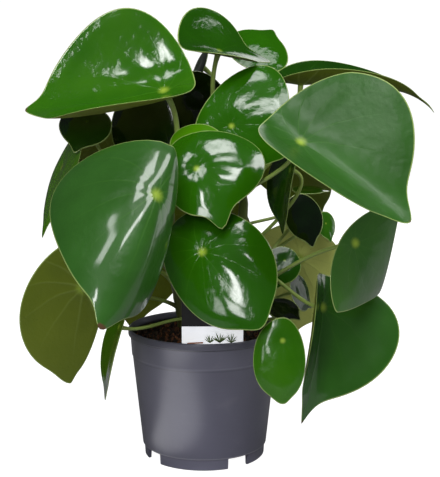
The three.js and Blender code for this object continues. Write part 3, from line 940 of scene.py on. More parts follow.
class BladeForm:
    """The curved middle surface of one blade, around the pot's axis, in millimetres."""

    WALK_STEPS = 14
    TAPER_FLOOR = 0.02
    NORMAL_STEP = 0.5
    DIMPLE_DEPTH = 1.1
    DIMPLE_RADIUS = 8.0

    def __init__(self, leaf: Leaf) -> None:
        """Works out the blade's own directions.

        Args:
            leaf: The leaf.
        """
        self.leaf = leaf
        azimuth, rise, turn = (math.radians(part) for part in leaf.face)
        sin_a, cos_a = math.sin(azimuth), math.cos(azimuth)
        self.normal = np.array([sin_a * math.cos(rise), -cos_a * math.cos(rise), math.sin(rise)])
        downhill = np.array([sin_a * math.sin(rise), -cos_a * math.sin(rise), -math.cos(rise)])
        sideways = np.array([cos_a, sin_a, 0.0])
        self.tip = downhill * math.cos(turn) + sideways * math.sin(turn)
        self.across = np.cross(self.normal, self.tip)

    def _walk(self, distance: np.ndarray, angle_at: object) -> tuple[np.ndarray, ...]:
        """Follows a line that keeps turning.

        Args:
            distance: How far each point is along the line.
            angle_at: Function from a distance to the line's turn there.

        Returns:
            How far each point gets, how far it drops, and the turn at its end.
        """
        step = distance / self.WALK_STEPS
        along = np.zeros_like(distance)
        drop = np.zeros_like(distance)
        for at in range(self.WALK_STEPS):
            angle = angle_at((at + 0.5) * step)
            along += np.cos(angle) * step
            drop += np.sin(angle) * step
        return along, drop, angle_at(distance)

    def surface(self, u: np.ndarray, v: np.ndarray) -> np.ndarray:
        """Maps flat leaf coordinates to points in space.

        Args:
            u: Distances towards the tip.
            v: Distances across.

        Returns:
            One point a row.
        """
        leaf = self.leaf
        tip_reach, base_reach, width = leaf.size
        bow, cup, fold = (math.radians(part) for part in leaf.bend)
        curl, heel, twist = (math.radians(x) for x in (leaf.curl, leaf.heel, leaf.twist))

        def rib_angle(s: np.ndarray) -> np.ndarray:
            """Returns the turn of the midrib at a distance from the spot."""
            return (bow * s / leaf.length + curl * np.maximum(0, s / tip_reach) ** 4
                    + heel * np.maximum(0, -s / base_reach))

        def rim_angle(s: np.ndarray) -> np.ndarray:
            """Returns the turn across the blade at a distance from the midrib."""
            return cup * s / width + fold / 2 * s / np.hypot(s, leaf.crease)

        rib_along, rib_drop, rib_turn = self._walk(u, rib_angle)
        rim_along, rim_drop, _ = self._walk(v, rim_angle)
        rib_up = (np.cos(rib_turn)[:, None] * self.normal + np.sin(rib_turn)[:, None] * self.tip)
        turned = (twist * u / leaf.length)[:, None]
        side = np.cos(turned) * self.across + np.sin(turned) * rib_up
        upward = np.cos(turned) * rib_up - np.sin(turned) * self.across
        dimple = self.DIMPLE_DEPTH * np.exp(-(u * u + v * v) / self.DIMPLE_RADIUS ** 2)
        return (np.array(leaf.spot) + rib_along[:, None] * self.tip
                - rib_drop[:, None] * self.normal + rim_along[:, None] * side
                - (rim_drop + dimple)[:, None] * upward)

    def normals(self, u: np.ndarray, v: np.ndarray) -> np.ndarray:
        """Returns the outward direction of the upper side.

        Args:
            u: Distances towards the tip.
            v: Distances across.

        Returns:
            One unit direction a row.
        """
        step = self.NORMAL_STEP
        along = self.surface(u + step, v) - self.surface(u - step, v)
        beside = self.surface(u, v + step) - self.surface(u, v - step)
        facing = np.cross(along, beside)
        return facing / np.linalg.norm(facing, axis=1)[:, None]

    def outline(self, angle: np.ndarray) -> tuple[np.ndarray, np.ndarray]:
        """Returns the flat outline, from the tip anticlockwise.

        Args:
            angle: Angles from 0 to a full turn.

        Returns:
            Distances towards the tip and across.
        """
        leaf = self.leaf
        _, base_reach, width = leaf.size
        drip = leaf.drip * leaf.length
        near_tip = np.minimum(angle, 2 * math.pi - angle) / leaf.drip_spread
        u = ((leaf.length - drip) * (0.5 + 0.5 * np.cos(angle))
             + drip * np.exp(-near_tip * near_tip) - base_reach)
        share = 0.5 + (leaf.lean + leaf.skew * np.cos(angle)) * np.sign(np.sin(angle))
        taper = np.maximum(np.sin(angle / 2), self.TAPER_FLOOR) ** leaf.point
        v = width * share * np.sin(angle) * taper
        if not leaf.sickle:
            return u, v
        full = math.radians(leaf.sickle)
        radius = leaf.length / full
        turn = u / radius
        return (radius * np.sin(turn) - v * np.sin(turn),
                radius * (1 - np.cos(turn)) + v * np.cos(turn))


@dataclass
class BladeMaker:
    """Builds a blade's mesh: two skins, a rounded rim, and what its materials read.

    A blade shorter than small has fewer points, one shorter than wavy has a calmer rim, and one
    of the length large has its veins in full relief.
    """

    sides: int = 96
    rings: int = 26
    thickness: float = 1.5
    rim_thickness: float = 0.55
    taper: float = 9.0
    quilt: float = 0.16
    flutter: float = 0.5
    uneven: float = 0.012
    swell: float = 0.3
    small: float = 84.0
    wavy: float = 90.0
    large: float = 120.0
    tip_crowding: float = 0.35
    heart_margin: float = 40.0
    rim_bulge: float = 0.22
    dry_reach: float = 0.035
    full_breadth: float = 125.0

    def _rings(self) -> np.ndarray:
        """Returns the rings' shares of the outline, closer together at the rim."""
        inner = np.linspace(0.035, 0.94, self.rings)
        return np.concatenate([inner, [0.962, 0.98, 0.993, 1.0]])

    def _relief(
        self, leaf: Leaf, u: np.ndarray, v: np.ndarray, share: np.ndarray, stream: random.Random
    ) -> np.ndarray:
        """Returns how far each point stands off the smooth surface.

        Args:
            leaf: The leaf.
            u: Distances towards the tip.
            v: Distances across.
            share: Shares of the outline.
            stream: The leaf's own random numbers.

        Returns:
            Heights in millimetres along the upper side's direction.
        """
        reach = np.hypot(u, v) / leaf.length
        turned = np.arctan2(v, u) / (1 - VEIN_BEND * reach)
        deep = self.quilt * (leaf.length / self.large) ** 1.5 * smoothstep(0.0, 0.35, reach)
        quilt = -np.cos(turned * VEINS) * deep * (1 - share ** 3)
        waves = np.zeros_like(u)
        for count in (2, 3, 5):
            phase = stream.uniform(0, 2 * math.pi)
            size = self.flutter * stream.uniform(0.5, 1.0) / count
            waves += size * np.sin(count * np.arctan2(v, u) + phase)
        height = stream.uniform(-self.swell, self.swell)
        swell = height * np.sin(u / leaf.length * 7 + stream.uniform(0, 6))
        return quilt + waves * share ** 3 * min(1.0, leaf.length / self.wavy) + swell * share

    def _flat_points(
        self, form: BladeForm, sides: int, stream: random.Random
    ) -> tuple[np.ndarray, np.ndarray, np.ndarray, np.ndarray]:
        """Lays out a skin's points on the flat leaf.

        Args:
            form: The blade's form.
            sides: Points around a ring.
            stream: The leaf's own random numbers.

        Returns:
            Distances towards the tip and across, shares of the outline, and distances in from
            the rim.
        """
        angle = np.arange(sides) * 2 * math.pi / sides
        angle = angle - self.tip_crowding * np.sin(angle)
        out_u, out_v = form.outline(angle)
        wobble = 1.0 + sum(
            self.uneven * stream.uniform(0.4, 1) * np.sin(count * angle + stream.uniform(0, 6))
            for count in (2, 3, 5)) * np.sin(angle / 2)
        out_u, out_v = out_u * wobble, out_v * wobble
        shares = self._rings()
        u = np.concatenate([[0.0], np.outer(shares, out_u).ravel()])
        v = np.concatenate([[0.0], np.outer(shares, out_v).ravel()])
        share = np.concatenate([[0.0], np.repeat(shares, sides)])
        reach = np.outer(1 - shares, np.hypot(out_u, out_v)).ravel()
        return u, v, share, np.concatenate([[self.heart_margin], reach])

    def build(self, leaf: Leaf, upper: Material, under: Material) -> Object:
        """Builds one blade.

        Args:
            leaf: The leaf.
            upper: Material of the upper side.
            under: Material of the underside.

        Returns:
            The finished piece.
        """
        form = BladeForm(leaf)
        stream = random.Random(leaf.name)
        sides = self.sides * 2 // 3 if leaf.length < self.small else self.sides
        u, v, share, edge = self._flat_points(form, sides, stream)
        facing = form.normals(u, v)
        middle = form.surface(u, v) + facing * self._relief(leaf, u, v, share, stream)[:, None]
        gain = smoothstep(0.0, self.taper, edge)
        half = 0.5 * (self.rim_thickness + (self.thickness - self.rim_thickness) * gain)
        half = np.where(share >= 1.0, half * 0.6, half)
        outward = middle[-sides:] - middle[-2 * sides:-sides]
        outward /= np.linalg.norm(outward, axis=1)[:, None]
        points = np.concatenate([
            middle + facing * half[:, None], middle - facing * half[:, None],
            middle[-sides:] + outward * self.rim_bulge])
        flat = np.stack([u, v], axis=1) / leaf.length + 0.5
        faces, kinds = self._faces(sides, len(u) // sides)
        mesh = bpy.data.meshes.new(leaf.name)
        mesh.from_pydata(in_metres(points).tolist(), [], faces)
        mesh.polygons.foreach_set("material_index", kinds)
        mesh.polygons.foreach_set("use_smooth", [True] * len(faces))
        mesh.materials.append(upper)
        mesh.materials.append(under)
        self._store_looks(mesh, leaf, np.concatenate([flat, flat, flat[-sides:]]),
                          np.concatenate([edge, edge, np.zeros(sides)]))
        mesh.validate()
        mesh.update()
        return add_object(leaf.name + "_blade", mesh)

    @staticmethod
    def _faces(sides: int, rings: int) -> tuple[list[tuple[int, ...]], list[int]]:
        """Lists the faces of both skins and the rim.

        Args:
            sides: Points around a ring.
            rings: Rings on a skin.

        Returns:
            The faces, and each one's place among the materials.
        """
        count = 1 + rings * sides
        top, low, lip = count - sides, 2 * count - sides, 2 * count
        faces: list[tuple[int, ...]] = []
        for side in range(sides):
            after = (side + 1) % sides
            faces += [(0, 1 + side, 1 + after), (count, count + 1 + after, count + 1 + side)]
            for inner in range(1, top, sides):
                outer = inner + sides
                quad = (inner + side, outer + side, outer + after, inner + after)
                faces += [quad, tuple(count + at for at in reversed(quad))]
            faces += [(top + side, lip + side, lip + after, top + after),
                      (lip + side, low + side, low + after, lip + after)]
        return faces, [Side.UPPER.value, Side.UNDER.value] * (len(faces) // 2)

    def _store_looks(self, mesh: Mesh, leaf: Leaf, flat: np.ndarray, edges: np.ndarray) -> None:
        """Stores what the materials read: flat coordinates, edge, dryness and the leaf's look.

        Args:
            mesh: The blade's mesh.
            leaf: The leaf.
            flat: Flat coordinates of each point.
            edges: Distance of each point from the rim.
        """
        corners = np.zeros(len(mesh.loops), dtype=np.int32)
        mesh.loops.foreach_get("vertex_index", corners)
        layer = mesh.uv_layers.new(name="blade")
        layer.uv.foreach_set("vector", flat[corners].astype(np.float32).ravel())
        off_tip = np.linalg.norm(flat - (leaf.size[0] / leaf.length + 0.5, 0.5), axis=1)
        store(mesh, "edge", edges)
        store(mesh, "dry", leaf.dry * np.exp(-(off_tip / self.dry_reach) ** 2))
        whole = {"tone": leaf.tone, "painted_sheen": leaf.painted_sheen, "satin": leaf.satin, "shine": leaf.shine,
                 "breadth": min(1.0, leaf.length / self.full_breadth) ** 2}
        for name, number in whole.items():
            store(mesh, name, np.full(len(edges), number))


# ---- stems and stalks -------------------------------------------------------


@dataclass(frozen=True)
class StemLine:
    """Foot in the soil, bend and growing point of a stem."""

    foot: tuple[float, float]
    bend: Point
    tip: Point


STEMS = {
    "left": StemLine((-17, 0), (-24, -4, 150), (-28, -6, 214)),
    "right": StemLine((19, 2), (27, -2, 145), (31, -4, 206)),
    "front": StemLine((2, -16), (4, -24, 150), (2, -24, 222)),
    "back": StemLine((2, 21), (5, 30, 160), (8, 30, 240)),
}


class SmoothPath:
    """A centripetal Catmull-Rom curve through a few points."""

    def __init__(self, points: list[Point]) -> None:
        """Keeps the points, with one more beyond each end.

        Args:
            points: Points that the curve passes through.
        """
        inside = [np.array(point, float) for point in points]
        self.points = [2 * inside[0] - inside[1], *inside, 2 * inside[-1] - inside[-2]]

    def at(self, share: float) -> np.ndarray:
        """Returns the point at a share of the curve.

        Args:
            share: From 0 at the first point to 1 at the last.

        Returns:
            The point.
        """
        spans = len(self.points) - 3
        place = min(share * spans, spans - 1e-9)
        first = int(place)
        t = place - first
        p0, p1, p2, p3 = self.points[first:first + 4]
        d0, d1, d2 = (math.sqrt(float(np.linalg.norm(b - a)))
                      for a, b in ((p0, p1), (p1, p2), (p2, p3)))
        leave = ((p1 - p0) / d0 - (p2 - p0) / (d0 + d1) + (p2 - p1) / d1) * d1
        arrive = ((p2 - p1) / d1 - (p3 - p1) / (d1 + d2) + (p3 - p2) / d2) * d1
        return (p1 + leave * t + (-3 * p1 + 3 * p2 - 2 * leave - arrive) * t * t
                + (2 * p1 - 2 * p2 + leave + arrive) * t ** 3)

    def at_height(self, height: float) -> np.ndarray:
        """Finds where the curve passes a height.

        Args:
            height: The height.

        Returns:
            The point.
        """
        low, high = 0.0, 1.0
        for _ in range(30):
            middle = (low + high) / 2
            if self.at(middle)[2] < height:
                low = middle
            else:
                high = middle
        return self.at(low)


@dataclass
class StemMaker:
    """Builds a stem with its leaf stalks from curves, swept by Geometry Nodes.

    A stalk leaves the stem by outward and rise, and meets the blade squarely over arrival, in
    shares of its span. Old skin ends between the two distances of bark from the stem's centre
    line, and turns greener between the two heights of green.
    """

    stem_radius: float = 5.0
    top_radius: float = 3.6
    sides: int = 14
    stalk_steps: int = 22
    stem_steps: int = 60
    hole_depth: float = 26.0
    upright: float = 34.0
    knot_reach: float = 3.0
    knot_swell: float = 0.55
    root_reach: float = 0.09
    root_swell: float = 0.55
    spot_reach: float = 0.06
    spot_swell: float = 0.45
    spot_gap: float = 0.3
    outward: float = 0.3
    rise: float = 0.25
    arrival: float = 0.35
    bark: tuple[float, float] = (5.5, 16.0)
    green: tuple[float, float] = (120.0, 230.0)
    tree: NodeTree = field(init=False)

    def __post_init__(self) -> None:
        """Builds the sweep."""
        self.tree = self._make_tree()

    @staticmethod
    def _make_tree() -> NodeTree:
        """Makes the tree that sweeps a round section along every curve.

        Returns:
            The geometry tree, with named inputs.
        """
        tree, given, result = new_group(
            "StalkSweep", "GeometryNodeTree",
            [("Geometry", "NodeSocketGeometry", None), ("Sides", "NodeSocketInt", 12),
             ("Skin", "NodeSocketMaterial", None)],
            [("Geometry", "NodeSocketGeometry")])
        graph = Graph(tree)
        ring = graph.add("GeometryNodeCurvePrimitiveCircle",
                         {"Resolution": given.outputs["Sides"], "Radius": 1.0})
        radius = graph.add("GeometryNodeInputRadius").outputs["Radius"]
        sweep = graph.add("GeometryNodeCurveToMesh", {
            "Curve": given.outputs["Geometry"], "Profile Curve": ring.outputs["Curve"],
            "Scale": radius, "Fill Caps": True})
        smooth = graph.add("GeometryNodeSetShadeSmooth", {"Geometry": sweep.outputs["Mesh"]})
        real = graph.add("GeometryNodeRealizeInstances", {"Geometry": smooth.outputs["Geometry"]})
        dressed = graph.add("GeometryNodeSetMaterial", {
            "Geometry": real.outputs["Geometry"], "Material": given.outputs["Skin"]})
        graph.put(result.inputs["Geometry"], dressed.outputs["Geometry"])
        return tree

    def stem_path(self, line: StemLine) -> SmoothPath:
        """Returns the centre line of a stem.

        Args:
            line: The stem's foot, bend and tip.

        Returns:
            The curve, from below the soil to the growing point.
        """
        x, y = line.foot
        foot = Soil.top_height(math.hypot(x, y)) - self.hole_depth
        return SmoothPath([(x, y, foot), (x, y, foot + self.upright), line.bend, line.tip])

    def stalk_points(self, leaf: Leaf, path: SmoothPath) -> np.ndarray:
        """Returns points along a leaf's stalk, from inside the stem to the blade.

        Args:
            leaf: The leaf.
            path: The stem's centre line.

        Returns:
            One point a row.
        """
        root = path.at_height(leaf.root)
        form = BladeForm(leaf)
        end = np.array(leaf.spot) - form.normal * (BladeForm.DIMPLE_DEPTH + self.spot_gap)
        reach = float(np.linalg.norm(end - root))
        outward = np.array([end[0] - root[0], end[1] - root[1], 0.0])
        outward /= np.linalg.norm(outward)
        first = root + outward * self.outward * reach + np.array([0, 0, self.rise * reach])
        last = end - form.normal * self.arrival * reach + np.array([leaf.sway, 0, 0])
        t = np.linspace(0, 1, self.stalk_steps + 1)[:, None]
        return ((1 - t) ** 3 * root + 3 * (1 - t) ** 2 * t * first
                + 3 * (1 - t) * t * t * last + t ** 3 * end)

    def build(self, name: str, leaves: list[Leaf], skin: Material) -> Object:
        """Builds one stem with its stalks.

        Args:
            name: Key of the stem.
            leaves: Leaves that grow on it.
            skin: Its material.

        Returns:
            The finished piece.
        """
        path = self.stem_path(STEMS[name])
        curve = bpy.data.curves.new(f"stem_{name}_lines", "CURVE")
        curve.dimensions = "3D"
        shares = np.linspace(0, 1, self.stem_steps + 1)
        spine = np.array([path.at(share) for share in shares])
        roots = np.array([leaf.root for leaf in leaves])
        away = (spine[:, 2][:, None] - roots) / self.knot_reach
        knots = np.exp(-away ** 2).max(axis=1)
        radius = self.stem_radius + (self.top_radius - self.stem_radius) * shares ** 2
        rounded = np.sqrt(np.clip((1.02 - shares) / 0.05, 0.02, 1))
        radius = (radius + self.knot_swell * knots) * rounded
        self._spline(curve, spine, radius)
        for leaf in leaves:
            line = self.stalk_points(leaf, path)
            t = np.linspace(0, 1, len(line))
            width = leaf.stalk_radius * (
                1.0 + self.root_swell * np.exp(-(t / self.root_reach) ** 2)
                + self.spot_swell * np.exp(-((1 - t) / self.spot_reach) ** 2))
            self._spline(curve, line, width)
        holder = bpy.data.objects.new(f"stem_{name}_lines", curve)
        bpy.context.scene.collection.objects.link(holder)
        mesh = grown_mesh(holder, self.tree, {"Sides": self.sides, "Skin": skin})
        made = add_object(f"stem_{name}_stalks", mesh)
        self._store_age(mesh, path)
        return made

    def _store_age(self, mesh: Mesh, path: SmoothPath) -> None:
        """Stores how old the skin is: 1 low on the stem, 0 along the stalks.

        Args:
            mesh: The swept mesh.
            path: The stem's centre line.
        """
        points = mesh_points(mesh)
        spine = np.array([path.at(share) for share in np.linspace(0, 1, self.stem_steps)])
        gaps = np.linalg.norm(points[:, None, :] - spine[None, :, :], axis=2).min(axis=1)
        near = 1 - smoothstep(*self.bark, gaps)
        store(mesh, "age", near * (1 - 0.6 * smoothstep(*self.green, points[:, 2])))

    @staticmethod
    def _spline(curve: Curve, points: np.ndarray, radius: np.ndarray) -> None:
        """Adds a line to a curve.

        Args:
            curve: The curve that it goes in.
            points: Its points.
            radius: Its radius at each point, in millimetres.
        """
        spline = curve.splines.new("POLY")
        spline.points.add(len(points) - 1)
        placed = np.concatenate([in_metres(points), np.ones((len(points), 1))], axis=1)
        spline.points.foreach_set("co", placed.ravel())
        spline.points.foreach_set("radius", radius * MM)


# ---- pot --------------------------------------------------------------------


@dataclass
class Pot:
    """Thin nursery pot with a lip, a step in its wall, four feet and drain holes."""

    height: float = 102.0
    rim_radius: float = 60.0
    foot_height: float = 9.0
    foot_outer: float = 47.5
    foot_inner: float = 45.4
    wall_foot: float = 49.2
    wall_step: float = 56.7
    step_height: float = 80.5
    step_out: float = 0.55
    wall_top: float = 58.3
    lip_height: float = 5.2
    wall: float = 1.7
    floor: float = 1.6
    notch_width: float = 18.0
    notch_angles: tuple[float, ...] = (34.0, 124.0, 214.0, 304.0)
    hole_radius: float = 5.0
    hole_circle: float = 30.0
    hole_count: int = 8
    cut_depth: float = 8.0
    edge_radius: float = 0.3
    bevel_from: float = 50.0
    sharp_from: float = 35.0
    sides: int = 160

    @classmethod
    def inside(cls, height: float) -> float:
        """Returns the inside radius of the wall at a height."""
        slope = (cls.wall_step - cls.wall_foot) / (cls.step_height - cls.foot_height)
        return cls.wall_foot - cls.wall + slope * (height - cls.foot_height)

    def _profile(self) -> list[tuple[float, float]]:
        """Returns the wall's section as radius and height, from the floor's middle and back."""
        lip = self.height - self.lip_height
        top = self.foot_height + self.floor
        rim = self.rim_radius
        return [
            (0.0, self.foot_height), (self.foot_inner - 0.8, self.foot_height),
            (self.foot_inner - 0.4, 0.5), (self.foot_inner, 0.0),
            (self.foot_outer - 0.5, 0.0), (self.foot_outer, 0.5),
            (self.foot_outer + 0.4, self.foot_height - 1.2),
            (self.foot_outer + 0.6, self.foot_height - 0.6),
            (self.wall_foot - 0.4, self.foot_height - 0.1),
            (self.wall_foot, self.foot_height + 0.5),
            (self.wall_step - 0.02, self.step_height - 0.4),
            (self.wall_step + self.step_out, self.step_height + 0.6),
            (self.wall_step + self.step_out + 0.05, self.step_height + 1.2),
            (self.wall_top, lip - 0.8), (self.wall_top + 0.3, lip - 0.35), (rim - 0.5, lip),
            (rim - 0.1, lip + 0.3), (rim, lip + 0.9), (rim, self.height - 1.3),
            (rim - 0.25, self.height - 0.55), (rim - 0.7, self.height - 0.15),
            (rim - 1.2, self.height), (rim - 1.7, self.height - 0.05),
            (rim - 2.1, self.height - 0.4), (self.inside(lip) + 0.1, lip + 1.6),
            (self.inside(lip), lip), (self.inside(top + 1.5), top + 1.5),
            (self.inside(top) - 0.5, top + 0.4), (self.inside(top) - 1.5, top), (0.0, top)]

    def _cutters(self) -> Object:
        """Returns one object with the notches' boxes and the drain holes' rods."""
        shape = bmesh.new()
        radius = (self.foot_outer + self.foot_inner) / 2
        for angle in self.notch_angles:
            turn = Matrix.Rotation(math.radians(angle), 4, "Z")
            tall = 2 * (self.foot_height - 0.6)
            size = Matrix.Diagonal((self.cut_depth, self.notch_width, tall, 1.0))
            bmesh.ops.create_cube(
                shape, size=1.0, matrix=turn @ Matrix.Translation((radius, 0, 0)) @ size)
        for hole in range(self.hole_count):
            turn = Matrix.Rotation(2 * math.pi * hole / self.hole_count, 4, "Z")
            place = turn @ Matrix.Translation((self.hole_circle, 0, self.foot_height))
            bmesh.ops.create_cone(
                shape, cap_ends=True, segments=32, radius1=self.hole_radius,
                radius2=self.hole_radius, depth=self.cut_depth, matrix=place)
        return shape_object("pot_cutters", shape)

    def build(self, plastic: Material) -> Object:
        """Builds the pot.

        Args:
            plastic: Its material.

        Returns:
            The finished piece.
        """
        shape = bmesh.new()
        line = [shape.verts.new((radius, 0, height)) for radius, height in self._profile()]
        edges = [shape.edges.new(pair) for pair in zip(line, line[1:])]
        bmesh.ops.spin(
            shape, geom=line + edges, cent=(0, 0, 0), axis=(0, 0, 1), angle=2 * math.pi,
            steps=self.sides, use_duplicate=False)
        bmesh.ops.remove_doubles(shape, verts=shape.verts, dist=1e-4)
        bmesh.ops.recalc_face_normals(shape, faces=shape.faces)
        shell = shape_object("pot_blank", shape)
        cutters = self._cutters()
        cut = shell.modifiers.new("cut", "BOOLEAN")
        cut.object = cutters
        cut.operation = "DIFFERENCE"
        cut.solver = "EXACT"
        bevel = shell.modifiers.new("soften", "BEVEL")
        bevel.width = self.edge_radius * MM
        bevel.segments = 2
        bevel.limit_method = "ANGLE"
        bevel.angle_limit = math.radians(self.bevel_from)
        mesh = evaluated_mesh(shell)
        bpy.data.objects.remove(cutters)
        mesh.materials.clear()
        mesh.materials.append(plastic)
        mesh.shade_smooth()
        mesh.set_sharp_from_angle(angle=math.radians(self.sharp_from))
        self._store_inside(mesh)
        return add_object("pot_shell", mesh)

    def _store_inside(self, mesh: Mesh) -> None:
        """Stores which points lie on the inside of the wall, below the lip, where shade is painted.

        Args:
            mesh: The pot's mesh.
        """
        points = mesh_points(mesh)
        radius = np.hypot(points[:, 0], points[:, 1])
        lip = self.height - self.lip_height
        within = (radius < self.inside(points[:, 2]) + 0.3) & (points[:, 2] > self.foot_height)
        store(mesh, "inside", np.where(within & (points[:, 2] < lip + 0.5), 1.0, 0.0))


# ---- soil -------------------------------------------------------------------


@dataclass
class Soil:
    """Heaped potting mix, with crumbs and fibres lying on it.

    lumps gives each size of lump its scale, its layer of the noise and its height.
    """

    edge_height: float = 94.0
    crown_height: float = 103.0
    lumps: tuple[Point, ...] = ((0.09, 3.1, 1.5), (0.31, 8.7, 1.1), (0.8, 1.3, 0.5))
    sunk: float = 0.4
    sides: int = 120
    rings: int = 34
    clearance: float = 0.3
    crumbs: int = 1500
    seed: int = 7
    smallest: float = 0.45
    largest: float = 1.7
    roughness: float = 1.2
    bare_edge: float = 1.5

    @classmethod
    def top_height(cls, radius: float) -> float:
        """Returns the height of the smooth heap at a radius."""
        reach = radius / Pot.inside(cls.edge_height)
        return cls.edge_height + (cls.crown_height - cls.edge_height) * (1 - reach * reach)

    def _lump(self, x: float, y: float) -> float:
        """Returns how far the rough surface stands off the smooth heap.

        Args:
            x: Place in millimetres.
            y: Place in millimetres.

        Returns:
            Height in millimetres.
        """
        heights = (height * noise.noise(Vector((x * scale, y * scale, layer)))
                   for scale, layer, height in self.lumps)
        return sum(heights) - self.sunk

    def _ring(self, radius: float) -> list[tuple[float, float]]:
        """Returns the places of a ring's points around the pot's axis."""
        turns = [2 * math.pi * side / self.sides for side in range(self.sides)]
        return [(radius * math.cos(turn), radius * math.sin(turn)) for turn in turns]

    def build(self, mix: Material, bits: Material) -> list[Object]:
        """Builds the heap and what lies on it.

        Args:
            mix: Material of the heap.
            bits: Material of the crumbs.

        Returns:
            The heap and the crumbs.
        """
        edge = Pot.inside(self.edge_height) - self.clearance
        floor = Pot.foot_height + Pot.floor + self.clearance
        corner = floor + 1.5
        points = [(0.0, 0.0, self.top_height(0.0) + self._lump(0, 0))]
        for ring in range(1, self.rings + 1):
            radius = edge * ring / self.rings
            calm = min(1.0, (edge - radius) / 4)
            points += [(x, y, self.top_height(radius) + self._lump(x, y) * calm)
                       for x, y in self._ring(radius)]
        for radius, height in ((Pot.inside(corner) - self.clearance, corner),
                               (Pot.inside(floor) - 1.8, floor)):
            points += [(x, y, height) for x, y in self._ring(radius)]
        points.append((0.0, 0.0, floor))
        faces = [(0, 1 + side, 1 + (side + 1) % self.sides) for side in range(self.sides)]
        for ring in range(self.rings + 1):
            inner, outer = 1 + ring * self.sides, 1 + (ring + 1) * self.sides
            for side in range(self.sides):
                after = (side + 1) % self.sides
                faces.append((inner + side, outer + side, outer + after, inner + after))
        last, low = len(points) - 1, 1 + (self.rings + 1) * self.sides
        faces += [(low + side, last, low + (side + 1) % self.sides) for side in range(self.sides)]
        mesh = bpy.data.meshes.new("soil_heap")
        mesh.from_pydata(in_metres(np.array(points)).tolist(), [], faces)
        mesh.materials.append(mix)
        mesh.shade_smooth()
        heap = add_object("soil_heap", mesh)
        return [heap, self._scatter(heap, edge, bits)]

    def _scatter(self, heap: Object, edge: float, bits: Material) -> Object:
        """Strews crumbs over the heap with Geometry Nodes.

        Args:
            heap: The heap.
            edge: Its outer radius.
            bits: Material of the crumbs.

        Returns:
            The crumbs as one piece.
        """
        skin = heap.data.copy()
        shape = bmesh.new()
        shape.from_mesh(skin)
        limit = (self.edge_height - self.bare_edge) * MM
        under = [face for face in shape.faces if face.calc_center_median().z < limit]
        bmesh.ops.delete(shape, geom=under, context="FACES")
        shape.to_mesh(skin)
        shape.free()
        carrier = add_object("soil_skin", skin)
        area = math.pi * (edge * MM) ** 2
        values = {"Density": self.crumbs / area, "Seed": self.seed,
                  "Smallest": self.smallest * MM, "Largest": self.largest * MM, "Bits": bits}
        return add_object("soil_crumbs", grown_mesh(carrier, self._strew_tree(), values))

    def _strew_tree(self) -> NodeTree:
        """Makes the tree that strews uneven crumbs over a surface.

        Returns:
            The geometry tree, with named inputs.
        """
        number = "NodeSocketFloat"
        random_value = "FunctionNodeRandomValue"
        tree, given, result = new_group(
            "StrewCrumbs", "GeometryNodeTree",
            [("Geometry", "NodeSocketGeometry", None), ("Density", number, 1e5),
             ("Seed", "NodeSocketInt", 1), ("Smallest", number, 0.0005),
             ("Largest", number, 0.002), ("Bits", "NodeSocketMaterial", None)],
            [("Geometry", "NodeSocketGeometry")])
        graph = Graph(tree)
        spread = graph.add("GeometryNodeDistributePointsOnFaces", {
            "Mesh": given.outputs["Geometry"], "Density": given.outputs["Density"],
            "Seed": given.outputs["Seed"]})
        crumb = graph.add("GeometryNodeMeshIcoSphere", {"Radius": 1.0, "Subdivisions": 1})
        turn = graph.add(random_value, {"Seed": given.outputs["Seed"]}, data_type="FLOAT_VECTOR")
        turn.inputs["Max"].default_value = (6.28, 6.28, 6.28)
        size = graph.add(random_value, {2: given.outputs["Smallest"],
                                        3: given.outputs["Largest"]}, data_type="FLOAT")
        stretch = graph.add(random_value, {
            "Min": (0.7, 0.5, 0.35), "Max": (2.4, 1.1, 0.8), "Seed": 5}, data_type="FLOAT_VECTOR")
        scaled = graph.add("ShaderNodeVectorMath", {
            0: stretch.outputs["Value"], "Scale": size.outputs[1]}, operation="SCALE")
        lay = graph.add("GeometryNodeInstanceOnPoints", {
            "Points": spread.outputs["Points"], "Instance": crumb.outputs["Mesh"],
            "Rotation": turn.outputs["Value"], "Scale": scaled.outputs["Vector"]})
        hue = graph.add(random_value, {"Seed": 11}, data_type="FLOAT")
        tint = graph.add("GeometryNodeStoreNamedAttribute", {
            "Geometry": lay.outputs["Instances"], "Name": "hue"},
            data_type="FLOAT", domain="INSTANCE")
        graph.put(tint.inputs["Value"], hue.outputs[1])
        real = graph.add("GeometryNodeRealizeInstances", {"Geometry": tint.outputs["Geometry"]})
        rough = graph.add("ShaderNodeTexNoise", {"Scale": 900.0})
        full, half = self.roughness * MM, self.roughness * MM / 2
        shift = graph.vector(
            "MULTIPLY_ADD", rough.outputs["Color"], (full, full, full), (-half, -half, -half))
        move = graph.add("GeometryNodeSetPosition", {
            "Geometry": real.outputs["Geometry"], "Offset": shift.outputs["Vector"]})
        dressed = graph.add("GeometryNodeSetMaterial", {
            "Geometry": move.outputs["Geometry"], "Material": given.outputs["Bits"]})
        graph.put(result.inputs["Geometry"], dressed.outputs["Geometry"])
        return tree


# ---- care label -------------------------------------------------------------


